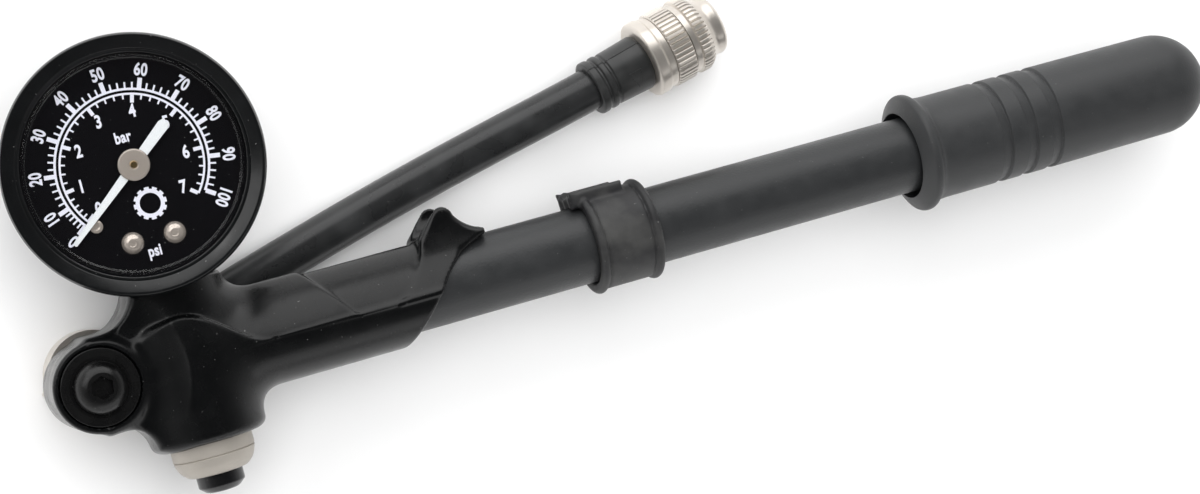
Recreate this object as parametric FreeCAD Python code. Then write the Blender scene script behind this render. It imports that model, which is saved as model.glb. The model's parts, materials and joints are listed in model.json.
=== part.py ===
"""Mini pump with a dial gauge, a swivelling hose and a screw-on chuck.

Millimetres. The pump lies on its back: the barrel runs along +X from the head to the handle, the
gauge stands off the head along +Y, and the dial faces up, +Z. Everything is modelled about the
crossing of the barrel's axis and the head's upright axis, then shifted so that the origin is the
middle of the footprint on the surface that the pump lies on.
"""
import FreeCAD
import Part
import math
import os

V = FreeCAD.Vector
AXIS_X = V(1, 0, 0)
AXIS_Y = V(0, 1, 0)
AXIS_Z = V(0, 0, 1)
ORIGIN = V(0, 0, 0)

# Driving dimensions
BARREL_DIAMETER = 16.0
BARREL_WALL = 1.25
BARREL_START = 15.8            # the barrel's end in the head
BARREL_END = 219.0
AXIS_HEIGHT = 21.0             # barrel axis above the surface
SLEEVE_DIAMETER = 20.4         # head casting round the barrel
COLUMN_DIAMETER = 22.4         # upright part of the head, bleed valve below and gauge above
COLUMN_BOTTOM = -16.9
COLUMN_TOP = 7.4
NECK_DIAMETER = 18.6
NECK_TOP = 14.8
LUG_X = -18.7                  # hose pivot, from the column's axis
LUG_Y = -0.8
LUG_RADIUS = 9.0
LUG_FRONT = 8.0
HEAD_BACK = -11.2              # back of the lug, where the hose swings past
HANDLE_START = 156.0
HANDLE_DIAMETER = 22.1
HANDLE_END_DIAMETER = 21.9
HANDLE_RIM_DIAMETER = 25.2
HANDLE_LENGTH = 76.0
GAUGE_RADIUS = 25.1            # over the bezel
GAUGE_CENTRE_Y = 38.6
GAUGE_YAW = -9.5               # degrees about the stem, as the thread pulls up tight
HOSE_DIAMETER = 9.0
HOSE_BORE = 4.5
CHUCK_DIAMETER = 16.8
CHUCK_LENGTH = 18.4
VALVE_THREAD_RADIUS = 3.9      # Schrader valve thread, over its crests
BOLT_THREAD_RADIUS = 3.0       # M6
GAP = 0.3                      # between pieces that move past each other
FIT = 0.07                     # radial running fit of shafts and guides

BARREL_RADIUS = BARREL_DIAMETER / 2
BORE_RADIUS = BARREL_RADIUS - BARREL_WALL
SLEEVE_RADIUS = SLEEVE_DIAMETER / 2
COLUMN_RADIUS = COLUMN_DIAMETER / 2
HOSE_RADIUS = HOSE_DIAMETER / 2
HANDLE_END = HANDLE_START + HANDLE_LENGTH
DOME_RADIUS = HANDLE_END_DIAMETER / 2
DOME_CENTRE = HANDLE_END - DOME_RADIUS
FLOOR = -AXIS_HEIGHT
PIVOT = V(LUG_X, LUG_Y, 0)

# The hose's route over the surface: length, across and height of each point
HOSE_ROUTE = [
    V(-9.8, 2.0, FLOOR + 4.80),
    V(8.0, 7.6, FLOOR + 4.75),
    V(30.0, 13.9, FLOOR + 4.75),
    V(52.0, 19.8, FLOOR + 5.00),
    V(73.5, 25.0, FLOOR + 6.90),
    V(93.2, 29.4, FLOOR + 8.55),
    V(110.7, 33.6, FLOOR + 8.55),
]
CHUCK_BASE = HOSE_ROUTE[-1]
CHUCK_AXIS = (HOSE_ROUTE[-1] - HOSE_ROUTE[-2]).normalize()
HOSE_START_AXIS = (HOSE_ROUTE[1] - HOSE_ROUTE[0]).normalize()
FOOTPRINT_MIDDLE = V(102.15, 18.3, 0)


# Shape helpers

def cylinder(radius, start, end, axis, base=ORIGIN):
    """Cylinder along axis through base, from distance start to distance end."""
    low = base + axis * min(start, end)
    return Part.makeCylinder(radius, abs(end - start), low, axis)


def ring(outer, inner, start, end, axis, base=ORIGIN):
    """Plain ring or tube."""
    return cylinder(outer, start, end, axis, base).cut(cylinder(inner, start - 1, end + 1, axis, base))


def box(x_range, y_range, z_range):
    """Box between two corners."""
    low = V(x_range[0], y_range[0], z_range[0])
    size = [high - low_end for low_end, high in (x_range, y_range, z_range)]
    return Part.makeBox(size[0], size[1], size[2], low)


def line(a, b):
    """Straight edge between two (along, across) points of an outline."""
    return Part.LineSegment(V(a[0], a[1], 0), V(b[0], b[1], 0)).toShape()


def arc(a, middle, b):
    """Arc edge through three (along, across) points of an outline."""
    return Part.Arc(V(a[0], a[1], 0), V(middle[0], middle[1], 0), V(b[0], b[1], 0)).toShape()


def polygon(points):
    """Closed straight outline."""
    return [line(a, b) for a, b in zip(points, points[1:] + points[:1])]


def flat(edges, z_range):
    """Outline in the XY plane raised into a solid between two heights."""
    face = Part.Face(Part.Wire(edges))
    face.translate(V(0, 0, z_range[0]))
    return face.extrude(V(0, 0, z_range[1] - z_range[0]))


def turned(edges, axis=AXIS_X, base=ORIGIN):
    """Outline of (distance along the axis, radius) points, turned into a round solid."""
    solid = Part.Face(Part.Wire(edges)).revolve(ORIGIN, AXIS_X, 360)
    solid.Placement = FreeCAD.Placement(base, FreeCAD.Rotation(AXIS_X, axis))
    return solid


def rounded(solid, radius, chosen):
    """Fillets the edges that the chosen test picks."""
    edges = [edge for edge in solid.Edges if chosen(edge)]
    return solid.makeFillet(radius, edges)


def circle_at(radius, position, axis):
    """Edge test: a full circle of this radius at this distance along an axis."""
    def test(edge):
        if not isinstance(edge.Curve, Part.Circle):
            return False
        distance = edge.Curve.Center.dot(axis)
        return abs(edge.Curve.Radius - radius) < 0.01 and abs(distance - position) < 0.01
    return test


def joined(first, *others):
    """One clean solid from several that touch or overlap."""
    solid = first
    for other in others:
        solid = solid.fuse(other)
    return solid.removeSplitter()


def torus(ring_radius, wire_radius, position, axis, base=ORIGIN):
    """O-ring round an axis."""
    return Part.makeTorus(ring_radius, wire_radius, base + axis * position, axis)


def coil(radius, wire_radius, length, turns, axis, base):
    """Compression spring along an axis from a base point."""
    path = Part.makeLongHelix(length / turns, length, radius)
    section = Part.Wire(Part.makeCircle(wire_radius, V(radius, 0, 0), AXIS_Y))
    solid = Part.Wire(path.Edges).makePipeShell([section], True, True)
    solid.Placement = FreeCAD.Placement(base, FreeCAD.Rotation(AXIS_Z, axis))
    return solid


def hexagon(across_flats, z_range, centre, turn=0.0):
    """Hexagonal prism along Z, its first corner turned from +X by an angle in degrees."""
    corner = across_flats / math.sqrt(3)
    angles = [math.radians(turn + 60 * k) for k in range(6)]
    points = [(centre.x + corner * math.cos(a), centre.y + corner * math.sin(a)) for a in angles]
    return flat(polygon(points), z_range)


def beside_gauge(solid):
    """Moves a piece from the gauge's own frame, dial along Z, to its place on the head."""
    placed = solid.copy()
    turn = FreeCAD.Rotation(AXIS_Y, GAUGE_YAW)
    placed.Placement = FreeCAD.Placement(V(0, GAUGE_CENTRE_Y, 0), turn).multiply(solid.Placement)
    return placed


def on_chuck(solid):
    """Moves a piece from the chuck's own frame, nose along X, to the hose's end."""
    placed = solid.copy()
    turn = FreeCAD.Rotation(AXIS_X, CHUCK_AXIS)
    placed.Placement = FreeCAD.Placement(CHUCK_BASE, turn).multiply(solid.Placement)
    return placed


# Head

BLEED_SEAT_RADIUS = 6.5        # threaded seat of the bleed cap
BLEED_SEAT_TOP = -10.0
AIR_BORE_RADIUS = 3.0
GAUGE_PORT_RADIUS = 4.9
GAUGE_PORT_BOTTOM = 5.0
STEM_SEAL_RADIUS = 7.0
STEM_SEAL_THICKNESS = 1.0
SWIVEL_BORE_RADIUS = 5.0
WASHER_RADIUS = 7.6
WASHER_SEAT = 6.8
PORT_HEIGHT = -2.5             # air passage to the swivel
CHECK_SEAT_RADIUS = 5.0
CHECK_SEAT_START = 11.5
CHECK_HOLE_RADIUS = 1.5
CHECK_BEVEL = 0.4
CHECK_CHAMBER_RADIUS = 2.8
CHECK_CHAMBER_START = 4.0
HORN_HALF_WIDTH = 6.4
HOSE_REST_HEIGHT = 14.7        # axis of the stowed hose above the barrel's axis
HOSE_REST_RADIUS = 4.6


def sleeve_with_horn():
    """Casting round the barrel, with its sloping mouth and the horn that holds the stowed hose."""
    side = [
        line((0, -12), (41.8, -12)),
        arc((41.8, -12), (47.6, -4.6), (52.4, 1.6)),
        arc((52.4, 1.6), (57.0, 5.9), (63.2, 8.2)),
        line((63.2, 8.2), (63.2, 9.2)),
        arc((63.2, 9.2), (59.7, 11.0), (57.8, 13.2)),
        arc((57.8, 13.2), (56.0, 15.4), (53.6, 14.6)),
        line((53.6, 14.6), (48.6, 9.6)),
        line((48.6, 9.6), (46.0, 12)),
        line((46.0, 12), (0, 12)),
        line((0, 12), (0, -12)),
    ]
    outline = flat(side, (-COLUMN_RADIUS, COLUMN_RADIUS))
    round_part = cylinder(SLEEVE_RADIUS, 0, 64, AXIS_X)
    horn_part = box((46, 64), (5, 16), (-HORN_HALF_WIDTH, HORN_HALF_WIDTH))
    sleeve = outline.common(joined(round_part, horn_part))
    rest = cylinder(HOSE_REST_RADIUS, 40, 70, AXIS_X, V(0, HOSE_REST_HEIGHT, 0))
    return sleeve.cut(rest)


def shoulder():
    """Thicker band over the sleeve beside the neck, with a slanting end."""
    side = polygon([(4, 1.5), (30.5, 1.5), (24.6, 11.6), (4, 11.6)])
    band = flat(side, (-5, COLUMN_RADIUS))
    return band.common(cylinder(11.4, 0, 32, AXIS_X))


def lug_web():
    """Plate that joins the hose lug to the column, with hollow curves above and below."""
    left = LUG_X
    side = [
        arc((left, LUG_Y + LUG_RADIUS), (-12.8, 9.6), (-8.6, 14.2)),
        line((-8.6, 14.2), (0, 14.2)),
        line((0, 14.2), (0, -15.2)),
        line((0, -15.2), (-10.6, -15.2)),
        arc((-10.6, -15.2), (-13.0, -11.2), (left, LUG_Y - LUG_RADIUS)),
        line((left, LUG_Y - LUG_RADIUS), (left, LUG_Y + LUG_RADIUS)),
    ]
    return flat(side, (HEAD_BACK, LUG_FRONT - 1.2))


def head_casting():
    """Die-cast head: column, neck, hose lug, sleeve with horn, and all its air passages."""
    column = cylinder(COLUMN_RADIUS, COLUMN_BOTTOM, COLUMN_TOP, AXIS_Y)
    column = rounded(column, 1.8, circle_at(COLUMN_RADIUS, COLUMN_BOTTOM, AXIS_Y))
    column = rounded(column, 1.5, circle_at(COLUMN_RADIUS, COLUMN_TOP, AXIS_Y))
    neck = cylinder(NECK_DIAMETER / 2, 0, NECK_TOP, AXIS_Y, V(0.5, 0, 0))
    lug = cylinder(LUG_RADIUS, HEAD_BACK, LUG_FRONT, AXIS_Z, PIVOT)
    lug = rounded(lug, 0.8, circle_at(LUG_RADIUS, LUG_FRONT, AXIS_Z))
    body = joined(column, neck, lug_web(), lug, sleeve_with_horn(), shoulder())
    hollows = [
        cylinder(BARREL_RADIUS, BARREL_START, 70, AXIS_X),
        cylinder(CHECK_SEAT_RADIUS, CHECK_SEAT_START, BARREL_START, AXIS_X),
        cylinder(CHECK_CHAMBER_RADIUS, CHECK_CHAMBER_START, CHECK_SEAT_START, AXIS_X),
        cylinder(1.5, 0, CHECK_CHAMBER_START, AXIS_X),
        cylinder(BLEED_SEAT_RADIUS, COLUMN_BOTTOM - 1, BLEED_SEAT_TOP, AXIS_Y),
        cylinder(AIR_BORE_RADIUS, BLEED_SEAT_TOP, GAUGE_PORT_BOTTOM, AXIS_Y),
        cylinder(GAUGE_PORT_RADIUS, GAUGE_PORT_BOTTOM, NECK_TOP + 1, AXIS_Y),
        cylinder(STEM_SEAL_RADIUS, NECK_TOP - STEM_SEAL_THICKNESS, NECK_TOP + 1, AXIS_Y),
        cylinder(SWIVEL_BORE_RADIUS, HEAD_BACK - 1, WASHER_SEAT, AXIS_Z, PIVOT),
        cylinder(WASHER_RADIUS + GAP, WASHER_SEAT, LUG_FRONT + 1, AXIS_Z, PIVOT),
        cylinder(1.5, LUG_X, 0, AXIS_X, V(0, LUG_Y, PORT_HEIGHT)),
    ]
    for hollow in hollows:
        body = body.cut(hollow)
    return body


# Barrel, valve and plunger

GLAND_START = 207.0
GLAND_FLANGE = 3.0
ROD_RADIUS = 3.0
BUSH_RADIUS = 4.6
PISTON_START = 17.6
PISTON_END = 26.0
PISTON_RADIUS = BORE_RADIUS - 0.15
PISTON_RING_PLACE = 23.4
ROD_CLIP_GROOVE = 18.2
CHECK_BALL_RADIUS = 2.2
HANDLE_BORE_RADIUS = 9.5
HANDLE_FLOOR = 224.6
INSERT_RADIUS = 5.0


def rod_gland():
    """Plug screwed into the barrel's far end; it guides the rod and stops the piston."""
    plug = cylinder(BORE_RADIUS, GLAND_START, BARREL_END, AXIS_X)
    flange = cylinder(BARREL_RADIUS, BARREL_END, BARREL_END + GLAND_FLANGE, AXIS_X)
    return joined(plug, flange).cut(cylinder(BUSH_RADIUS, 200, 230, AXIS_X))


def check_seat():
    """Brass seat that the check ball closes, with a bevelled mouth."""
    side = polygon([
        (CHECK_SEAT_START, CHECK_HOLE_RADIUS + CHECK_BEVEL),
        (CHECK_SEAT_START + CHECK_BEVEL, CHECK_HOLE_RADIUS),
        (BARREL_START, CHECK_HOLE_RADIUS),
        (BARREL_START, CHECK_SEAT_RADIUS),
        (CHECK_SEAT_START, CHECK_SEAT_RADIUS),
    ])
    return turned(side)


def check_ball_centre():
    """Where the ball rests, a hair off the rim of its seat."""
    reach = math.sqrt(CHECK_BALL_RADIUS ** 2 - CHECK_HOLE_RADIUS ** 2)
    return CHECK_SEAT_START + CHECK_BEVEL - reach - 0.03


def piston():
    """Piston with an O-ring groove, a pocket for the rod's clip and a bore for the rod."""
    body = cylinder(PISTON_RADIUS, PISTON_START, PISTON_END, AXIS_X)
    pocket = cylinder(4.9, PISTON_START - 1, ROD_CLIP_GROOVE + 0.8 + GAP, AXIS_X)
    bore = cylinder(ROD_RADIUS + FIT, PISTON_START, PISTON_END + 1, AXIS_X)
    groove = ring(BORE_RADIUS, 5.0, PISTON_RING_PLACE - 1.0, PISTON_RING_PLACE + 1.0, AXIS_X)
    return body.cut(pocket).cut(bore).cut(groove)


def piston_rod():
    """Steel rod with a clip groove and a collar that pushes the piston."""
    rod = cylinder(ROD_RADIUS, PISTON_START + 0.2, HANDLE_FLOOR + 4.4, AXIS_X)
    collar = cylinder(4.4, PISTON_END + GAP, PISTON_END + GAP + 1.6, AXIS_X)
    groove = ring(4, 2.2, ROD_CLIP_GROOVE, ROD_CLIP_GROOVE + 0.8, AXIS_X)
    return joined(rod, collar).cut(groove)


def handle():
    """Hollow handle: flared rim, three saw-tooth grip grooves and a domed end."""
    body_radius = HANDLE_DIAMETER / 2
    rim_radius = HANDLE_RIM_DIAMETER / 2
    neck = HANDLE_START + 8.6
    groove_pitch = 6.1
    first_groove = HANDLE_START + 21.6
    taper = (body_radius - DOME_RADIUS) / (DOME_CENTRE - neck)
    edges = [
        arc((HANDLE_START + 1.6, 9.9), (HANDLE_START, 11.1), (HANDLE_START + 1.8, 12.25)),
        arc((HANDLE_START + 1.8, 12.25), (HANDLE_START + 5.0, rim_radius), (HANDLE_START + 7.2, 11.7)),
        arc((HANDLE_START + 7.2, 11.7), (HANDLE_START + 7.7, 11.25), (neck, body_radius)),
    ]
    last = (neck, body_radius)
    for k in range(3):
        step = first_groove + k * groove_pitch
        radius = body_radius - taper * (step - neck)
        edges += [
            line(last, (step - 2.1, radius)),
            line((step - 2.1, radius), (step - 0.15, radius - 0.55)),
            line((step - 0.15, radius - 0.55), (step, radius)),
        ]
        last = (step, radius)
    diagonal = DOME_RADIUS * math.sqrt(0.5)
    edges += [
        line(last, (DOME_CENTRE, DOME_RADIUS)),
        arc((DOME_CENTRE, DOME_RADIUS), (DOME_CENTRE + diagonal, diagonal), (HANDLE_END, 0)),
        line((HANDLE_END, 0), (HANDLE_FLOOR, 0)),
        line((HANDLE_FLOOR, 0), (HANDLE_FLOOR, HANDLE_BORE_RADIUS)),
        line((HANDLE_FLOOR, HANDLE_BORE_RADIUS), (HANDLE_START + 4, HANDLE_BORE_RADIUS)),
        line((HANDLE_START + 4, HANDLE_BORE_RADIUS), (HANDLE_START + 1.6, 9.9)),
    ]
    pocket = cylinder(INSERT_RADIUS, HANDLE_FLOOR, HANDLE_FLOOR + 5, AXIS_X)
    return turned(edges).cut(pocket)


CLIP_START = 84.3
CLIP_LENGTH = 13.9
CLIP_RADIUS = 10.25


def hose_clip():
    """Rubber band on the barrel, with a shallow cradle for the stowed hose."""
    band = cylinder(CLIP_RADIUS, CLIP_START, CLIP_START + CLIP_LENGTH, AXIS_X)
    for place in (CLIP_START, CLIP_START + CLIP_LENGTH):
        band = rounded(band, 0.7, circle_at(CLIP_RADIUS, place, AXIS_X))
    pad = box((CLIP_START - 2.2, CLIP_START + 10.2), (7.8, 11.2), (-5.0, 5.0))
    groove = cylinder(HOSE_REST_RADIUS, 0, 200, AXIS_X, V(0, HOSE_REST_HEIGHT, 0))
    through = cylinder(BARREL_RADIUS + FIT, 0, 200, AXIS_X)
    return joined(band, pad.cut(groove)).cut(through)


# Bleed valve, below the column

CAP_RADIUS = 8.2
CAP_SEAM = -19.7
CAP_BOTTOM = -23.4
BUTTON_END = -27.1
BUTTON_TOP = -17.6
BUTTON_RADIUS = 4.66
BUTTON_HOLE_RADIUS = BUTTON_RADIUS + FIT
STEM_RADIUS = 1.2
POPPET_RADIUS = 2.4


def bleed_cap():
    """Screwed-in cap with a fine seam, a tapering lower ring and a guide for the button."""
    side = [
        line((-BLEED_SEAT_TOP, 1.7), (-BLEED_SEAT_TOP, BLEED_SEAT_RADIUS)),
        line((-BLEED_SEAT_TOP, BLEED_SEAT_RADIUS), (-COLUMN_BOTTOM, BLEED_SEAT_RADIUS)),
        line((-COLUMN_BOTTOM, BLEED_SEAT_RADIUS), (-COLUMN_BOTTOM, CAP_RADIUS)),
        line((-COLUMN_BOTTOM, CAP_RADIUS), (-CAP_SEAM - 0.15, CAP_RADIUS)),
        line((-CAP_SEAM - 0.15, CAP_RADIUS), (-CAP_SEAM, CAP_RADIUS - 0.2)),
        line((-CAP_SEAM, CAP_RADIUS - 0.2), (-CAP_SEAM + 0.15, CAP_RADIUS - 0.05)),
        arc((-CAP_SEAM + 0.15, CAP_RADIUS - 0.05), (21.6, 7.5), (-CAP_BOTTOM, 5.6)),
        line((-CAP_BOTTOM, 5.6), (-CAP_BOTTOM, BUTTON_HOLE_RADIUS)),
        line((-CAP_BOTTOM, BUTTON_HOLE_RADIUS), (12.0, BUTTON_HOLE_RADIUS)),
        line((12.0, BUTTON_HOLE_RADIUS), (12.0, 1.7)),
        line((12.0, 1.7), (-BLEED_SEAT_TOP, 1.7)),
    ]
    return turned(side, AXIS_Y * -1)


def bleed_button():
    """Push button with a rounded end."""
    button = cylinder(BUTTON_RADIUS, BUTTON_END, BUTTON_TOP, AXIS_Y)
    button = rounded(button, 1.3, circle_at(BUTTON_RADIUS, BUTTON_END, AXIS_Y))
    return button.cut(cylinder(STEM_RADIUS, BUTTON_TOP - 4, BUTTON_TOP + 1, AXIS_Y))


def bleed_stem():
    """Brass stem from the button up to the poppet that closes the air bore."""
    stem = cylinder(STEM_RADIUS, BUTTON_TOP - 4, -8.4, AXIS_Y)
    poppet = cylinder(POPPET_RADIUS, -9.0, -8.0, AXIS_Y)
    return joined(stem, poppet)


# Hose swivel, hose and chuck

SWIVEL_TOP = HEAD_BACK - GAP
HEX_ACROSS_FLATS = 14.6
BOSS_RADIUS = 9.0
BOSS_SHIFT = V(1.5, 1.6, 0)
BARB_RADIUS = 2.5
WASHER_THICKNESS = 1.2
BOLT_HEAD_RADIUS = 5.25
BOLT_HEAD_HEIGHT = 3.2
BOLT_TIP = 0.0
SEAL_PLACES = (1.6, -8.0)


def swivel_elbow():
    """Elbow that turns in the lug: a hexagon with a round boss, a spigot and a barb for the hose."""
    heights = (FLOOR, SWIVEL_TOP)
    block = hexagon(HEX_ACROSS_FLATS, heights, PIVOT, 0)
    boss = cylinder(BOSS_RADIUS, heights[0], heights[1], AXIS_Z, PIVOT + BOSS_SHIFT)
    face_centre = HOSE_ROUTE[0]
    beyond = Part.makeBox(20, 40, 40, V(0, -20, -20))
    beyond.Placement = FreeCAD.Placement(face_centre, FreeCAD.Rotation(AXIS_X, HOSE_START_AXIS))
    block = joined(block, boss).cut(beyond)
    spigot = cylinder(SWIVEL_BORE_RADIUS - FIT, SWIVEL_TOP, WASHER_SEAT - 0.6, AXIS_Z, PIVOT)
    for place in SEAL_PLACES:
        spigot = spigot.cut(ring(6, 3.85, place - 0.65, place + 0.65, AXIS_Z, PIVOT))
    spigot = spigot.cut(ring(6, 4.2, PORT_HEIGHT - 1.2, PORT_HEIGHT + 1.2, AXIS_Z, PIVOT))
    barb = cylinder(BARB_RADIUS, -0.5, 12, HOSE_START_AXIS, face_centre)
    body = joined(block, spigot, barb)
    air_way = cylinder(1.3, -9.5, 13, HOSE_START_AXIS, face_centre)
    riser = cylinder(1.3, face_centre.z, PORT_HEIGHT, AXIS_Z, PIVOT)
    cross = cylinder(1.0, LUG_X - 6, LUG_X + 6, AXIS_X, V(0, LUG_Y, PORT_HEIGHT))
    thread = cylinder(BOLT_THREAD_RADIUS, BOLT_TIP, WASHER_SEAT, AXIS_Z, PIVOT)
    return body.cut(air_way).cut(riser).cut(cross).cut(thread)


def pivot_bolt():
    """Socket button-head bolt that holds the swivel in the lug."""
    seat = WASHER_SEAT + GAP + WASHER_THICKNESS
    top = seat + BOLT_HEAD_HEIGHT
    head = turned([
        line((seat, 0), (seat, BOLT_HEAD_RADIUS)),
        line((seat, BOLT_HEAD_RADIUS), (seat + 0.5, BOLT_HEAD_RADIUS)),
        arc((seat + 0.5, BOLT_HEAD_RADIUS), (seat + 2.2, 4.4), (top, 2.9)),
        line((top, 2.9), (top, 0)),
        line((top, 0), (seat, 0)),
    ], AXIS_Z, PIVOT)
    shank = cylinder(BOLT_THREAD_RADIUS, BOLT_TIP + 0.4, seat, AXIS_Z, PIVOT)
    socket = hexagon(4.0, (top - 2.2, top + 1), PIVOT, 22)
    return joined(head, shank).cut(socket)


def bolt_washer():
    """Wide washer, flush in the lug's face."""
    low = WASHER_SEAT + GAP
    washer = ring(WASHER_RADIUS, BOLT_THREAD_RADIUS, low, low + WASHER_THICKNESS, AXIS_Z, PIVOT)
    return rounded(washer, 0.3, circle_at(WASHER_RADIUS, low + WASHER_THICKNESS, AXIS_Z))


def hose_path(points):
    """Straight runs joined by tangent arcs, each as large as its two runs allow."""
    edges = []
    start = points[0]
    for before, corner, after in zip(points, points[1:], points[2:]):
        way_in = (corner - before).normalize()
        way_out = (after - corner).normalize()
        half_turn = way_in.getAngle(way_out) / 2
        setback = 0.45 * min((corner - before).Length, (after - corner).Length)
        radius = setback / math.tan(half_turn)
        arc_start = corner - way_in * setback
        arc_end = corner + way_out * setback
        inward = (way_out - way_in).normalize()
        middle = corner + inward * (radius / math.cos(half_turn) - radius)
        edges.append(Part.LineSegment(start, arc_start).toShape())
        edges.append(Part.Arc(arc_start, middle, arc_end).toShape())
        print("hose arc radius %.0f mm" % radius)
        start = arc_end
    edges.append(Part.LineSegment(start, points[-1]).toShape())
    return Part.Wire(edges)


def hose():
    """Rubber hose from the swivel's face to the chuck's flange."""
    path = hose_path(HOSE_ROUTE)
    print("hose length %.1f mm" % path.Length)
    outside = Part.Wire(Part.makeCircle(HOSE_RADIUS, HOSE_ROUTE[0], HOSE_START_AXIS))
    inside = Part.Wire(Part.makeCircle(HOSE_BORE / 2, HOSE_ROUTE[0], HOSE_START_AXIS))
    tube = path.makePipeShell([outside], True, False).cut(path.makePipeShell([inside], True, False))
    section = math.pi * (HOSE_RADIUS ** 2 - (HOSE_BORE / 2) ** 2)
    print("hose volume %.1f, section times length %.1f" % (tube.Volume, section * path.Length))
    return tube


FERRULE_LENGTH = 13.0
CORE_RADIUS = 5.2
FLANGE_END = 4.3
RING_END = 9.3
COLLAR_START = RING_END + 0.2
SEAL_START = 10.9
SEAL_END = 12.0
SEAL_THICKNESS = 1.0
CORE_END = 10.6
NOSE_RADIUS = 6.1
PIN_RADIUS = 1.0


def hose_ferrule():
    """Moulded sleeve over the hose's end, with two ribs."""
    edges = polygon([
        (-FERRULE_LENGTH, HOSE_RADIUS),
        (-FERRULE_LENGTH, 5.3),
        (-FERRULE_LENGTH + 0.5, 5.9),
        (-FERRULE_LENGTH + 1.8, 5.9),
        (-FERRULE_LENGTH + 2.1, 5.4),
        (-FERRULE_LENGTH + 2.7, 5.4),
        (-FERRULE_LENGTH + 3.0, 6.0),
        (-FERRULE_LENGTH + 4.3, 6.0),
        (-FERRULE_LENGTH + 4.6, 5.7),
        (0, 6.1),
        (0, HOSE_RADIUS),
    ])
    return on_chuck(turned(edges))


def chuck_body():
    """Chuck core with its rear flange and the barb that the hose is pushed on."""
    flange = cylinder(CHUCK_DIAMETER / 2, 0, FLANGE_END, AXIS_X)
    for place in (0, FLANGE_END):
        flange = rounded(flange, 0.6, circle_at(CHUCK_DIAMETER / 2, place, AXIS_X))
    core = cylinder(CORE_RADIUS, FLANGE_END, CORE_END, AXIS_X)
    barb = cylinder(BARB_RADIUS, -11, 0, AXIS_X)
    return on_chuck(joined(flange, core, barb).cut(cylinder(1.5, -12, CORE_END + 1, AXIS_X)))


def chuck_ring():
    """Knurled ring that screws along the core and drives the pin."""
    outer = CHUCK_DIAMETER / 2
    edges = polygon([
        (FLANGE_END + 0.2, CORE_RADIUS + FIT),
        (FLANGE_END + 0.2, outer - 0.5),
        (FLANGE_END + 0.7, outer),
        (RING_END - 0.5, outer),
        (RING_END, outer - 0.5),
        (RING_END, CORE_RADIUS + FIT),
    ])
    return on_chuck(turned(edges))


def chuck_collar():
    """Knurled collar and nose, threaded inside for the tyre valve."""
    outer = CHUCK_DIAMETER / 2
    edges = [
        line((COLLAR_START, CORE_RADIUS + FIT), (COLLAR_START, 7.5)),
        line((COLLAR_START, 7.5), (COLLAR_START + 1.3, 7.5)),
        line((COLLAR_START + 1.3, 7.5), (COLLAR_START + 1.5, outer)),
        line((COLLAR_START + 1.5, outer), (COLLAR_START + 3.6, outer)),
        line((COLLAR_START + 3.6, outer), (COLLAR_START + 4.6, 7.2)),
        arc((COLLAR_START + 4.6, 7.2), (COLLAR_START + 5.2, 6.4), (COLLAR_START + 6.2, NOSE_RADIUS)),
        line((COLLAR_START + 6.2, NOSE_RADIUS), (CHUCK_LENGTH - 0.8, NOSE_RADIUS)),
        arc((CHUCK_LENGTH - 0.8, NOSE_RADIUS), (CHUCK_LENGTH - 0.23, 5.87), (CHUCK_LENGTH, 5.3)),
        line((CHUCK_LENGTH, 5.3), (CHUCK_LENGTH, VALVE_THREAD_RADIUS)),
        line((CHUCK_LENGTH, VALVE_THREAD_RADIUS), (SEAL_END, VALVE_THREAD_RADIUS)),
        line((SEAL_END, VALVE_THREAD_RADIUS), (SEAL_END, 4.4)),
        line((SEAL_END, 4.4), (SEAL_START, 4.4)),
        line((SEAL_START, 4.4), (SEAL_START, CORE_RADIUS + FIT)),
        line((SEAL_START, CORE_RADIUS + FIT), (COLLAR_START, CORE_RADIUS + FIT)),
    ]
    return on_chuck(turned(edges))


# Gauge, in its own frame: dial along +Z, stem down -Y, the stem's axis at height 0

CASE_RADIUS = 23.6
CASE_BACK = -8.0
CASE_WALL = 0.8
CASE_FRONT = 10.8
BEZEL_BACK = 9.7
BEZEL_FRONT = 16.5
BEZEL_FACE_RADIUS = 24.1
BEZEL_INNER_RADIUS = 21.4
LENS_BACK = 14.2
LENS_FRONT = 15.4
DIAL_TOP = 11.5
DIAL_THICKNESS = 0.5
ZERO_ANGLE = -142.0            # pointer at 0, degrees from +X, seen from the front
POINTER_HEIGHT = 12.5
POINTER_TIP = 19.0
POINTER_TAIL = 10.4
HUB_RADIUS = 3.0
ARBOR_RADIUS = 0.6
PINION_RADIUS = 1.5
SECTOR_RADIUS = 12.0
SECTOR_PIVOT = V(0, -(PINION_RADIUS + SECTOR_RADIUS), 0)
SECTOR_HEIGHT = 6.2
SECTOR_THICKNESS = 0.8
SECTOR_TURN = 14.0             # degrees to the right of upright at zero
TAIL_LENGTH = 8.5
PLATE_LOW = 3.8
PLATE_HIGH = 8.4
PLATE_THICKNESS = 0.8
BOURDON_RADIUS = 17.0
BOURDON_TIP = 5.0              # degrees from +X
LINK_HEIGHT = 3.3
RIVET_PLACES = (V(-4.1, -14.4, 0), V(4.1, -14.4, 0))
STOP_PIN_PLACE = V(-9.9, -9.6, 0)


def gauge_case():
    """Pressed steel cup, with a hole at the bottom for the socket."""
    cup = cylinder(CASE_RADIUS, CASE_BACK, CASE_FRONT, AXIS_Z)
    cup = rounded(cup, 1.5, circle_at(CASE_RADIUS, CASE_BACK, AXIS_Z))
    inner = cylinder(CASE_RADIUS - CASE_WALL, CASE_BACK + CASE_WALL, CASE_FRONT + 1, AXIS_Z)
    stem_hole = cylinder(6.6, -30, -15, AXIS_Y)
    return beside_gauge(cup.cut(inner).cut(stem_hole))


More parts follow.
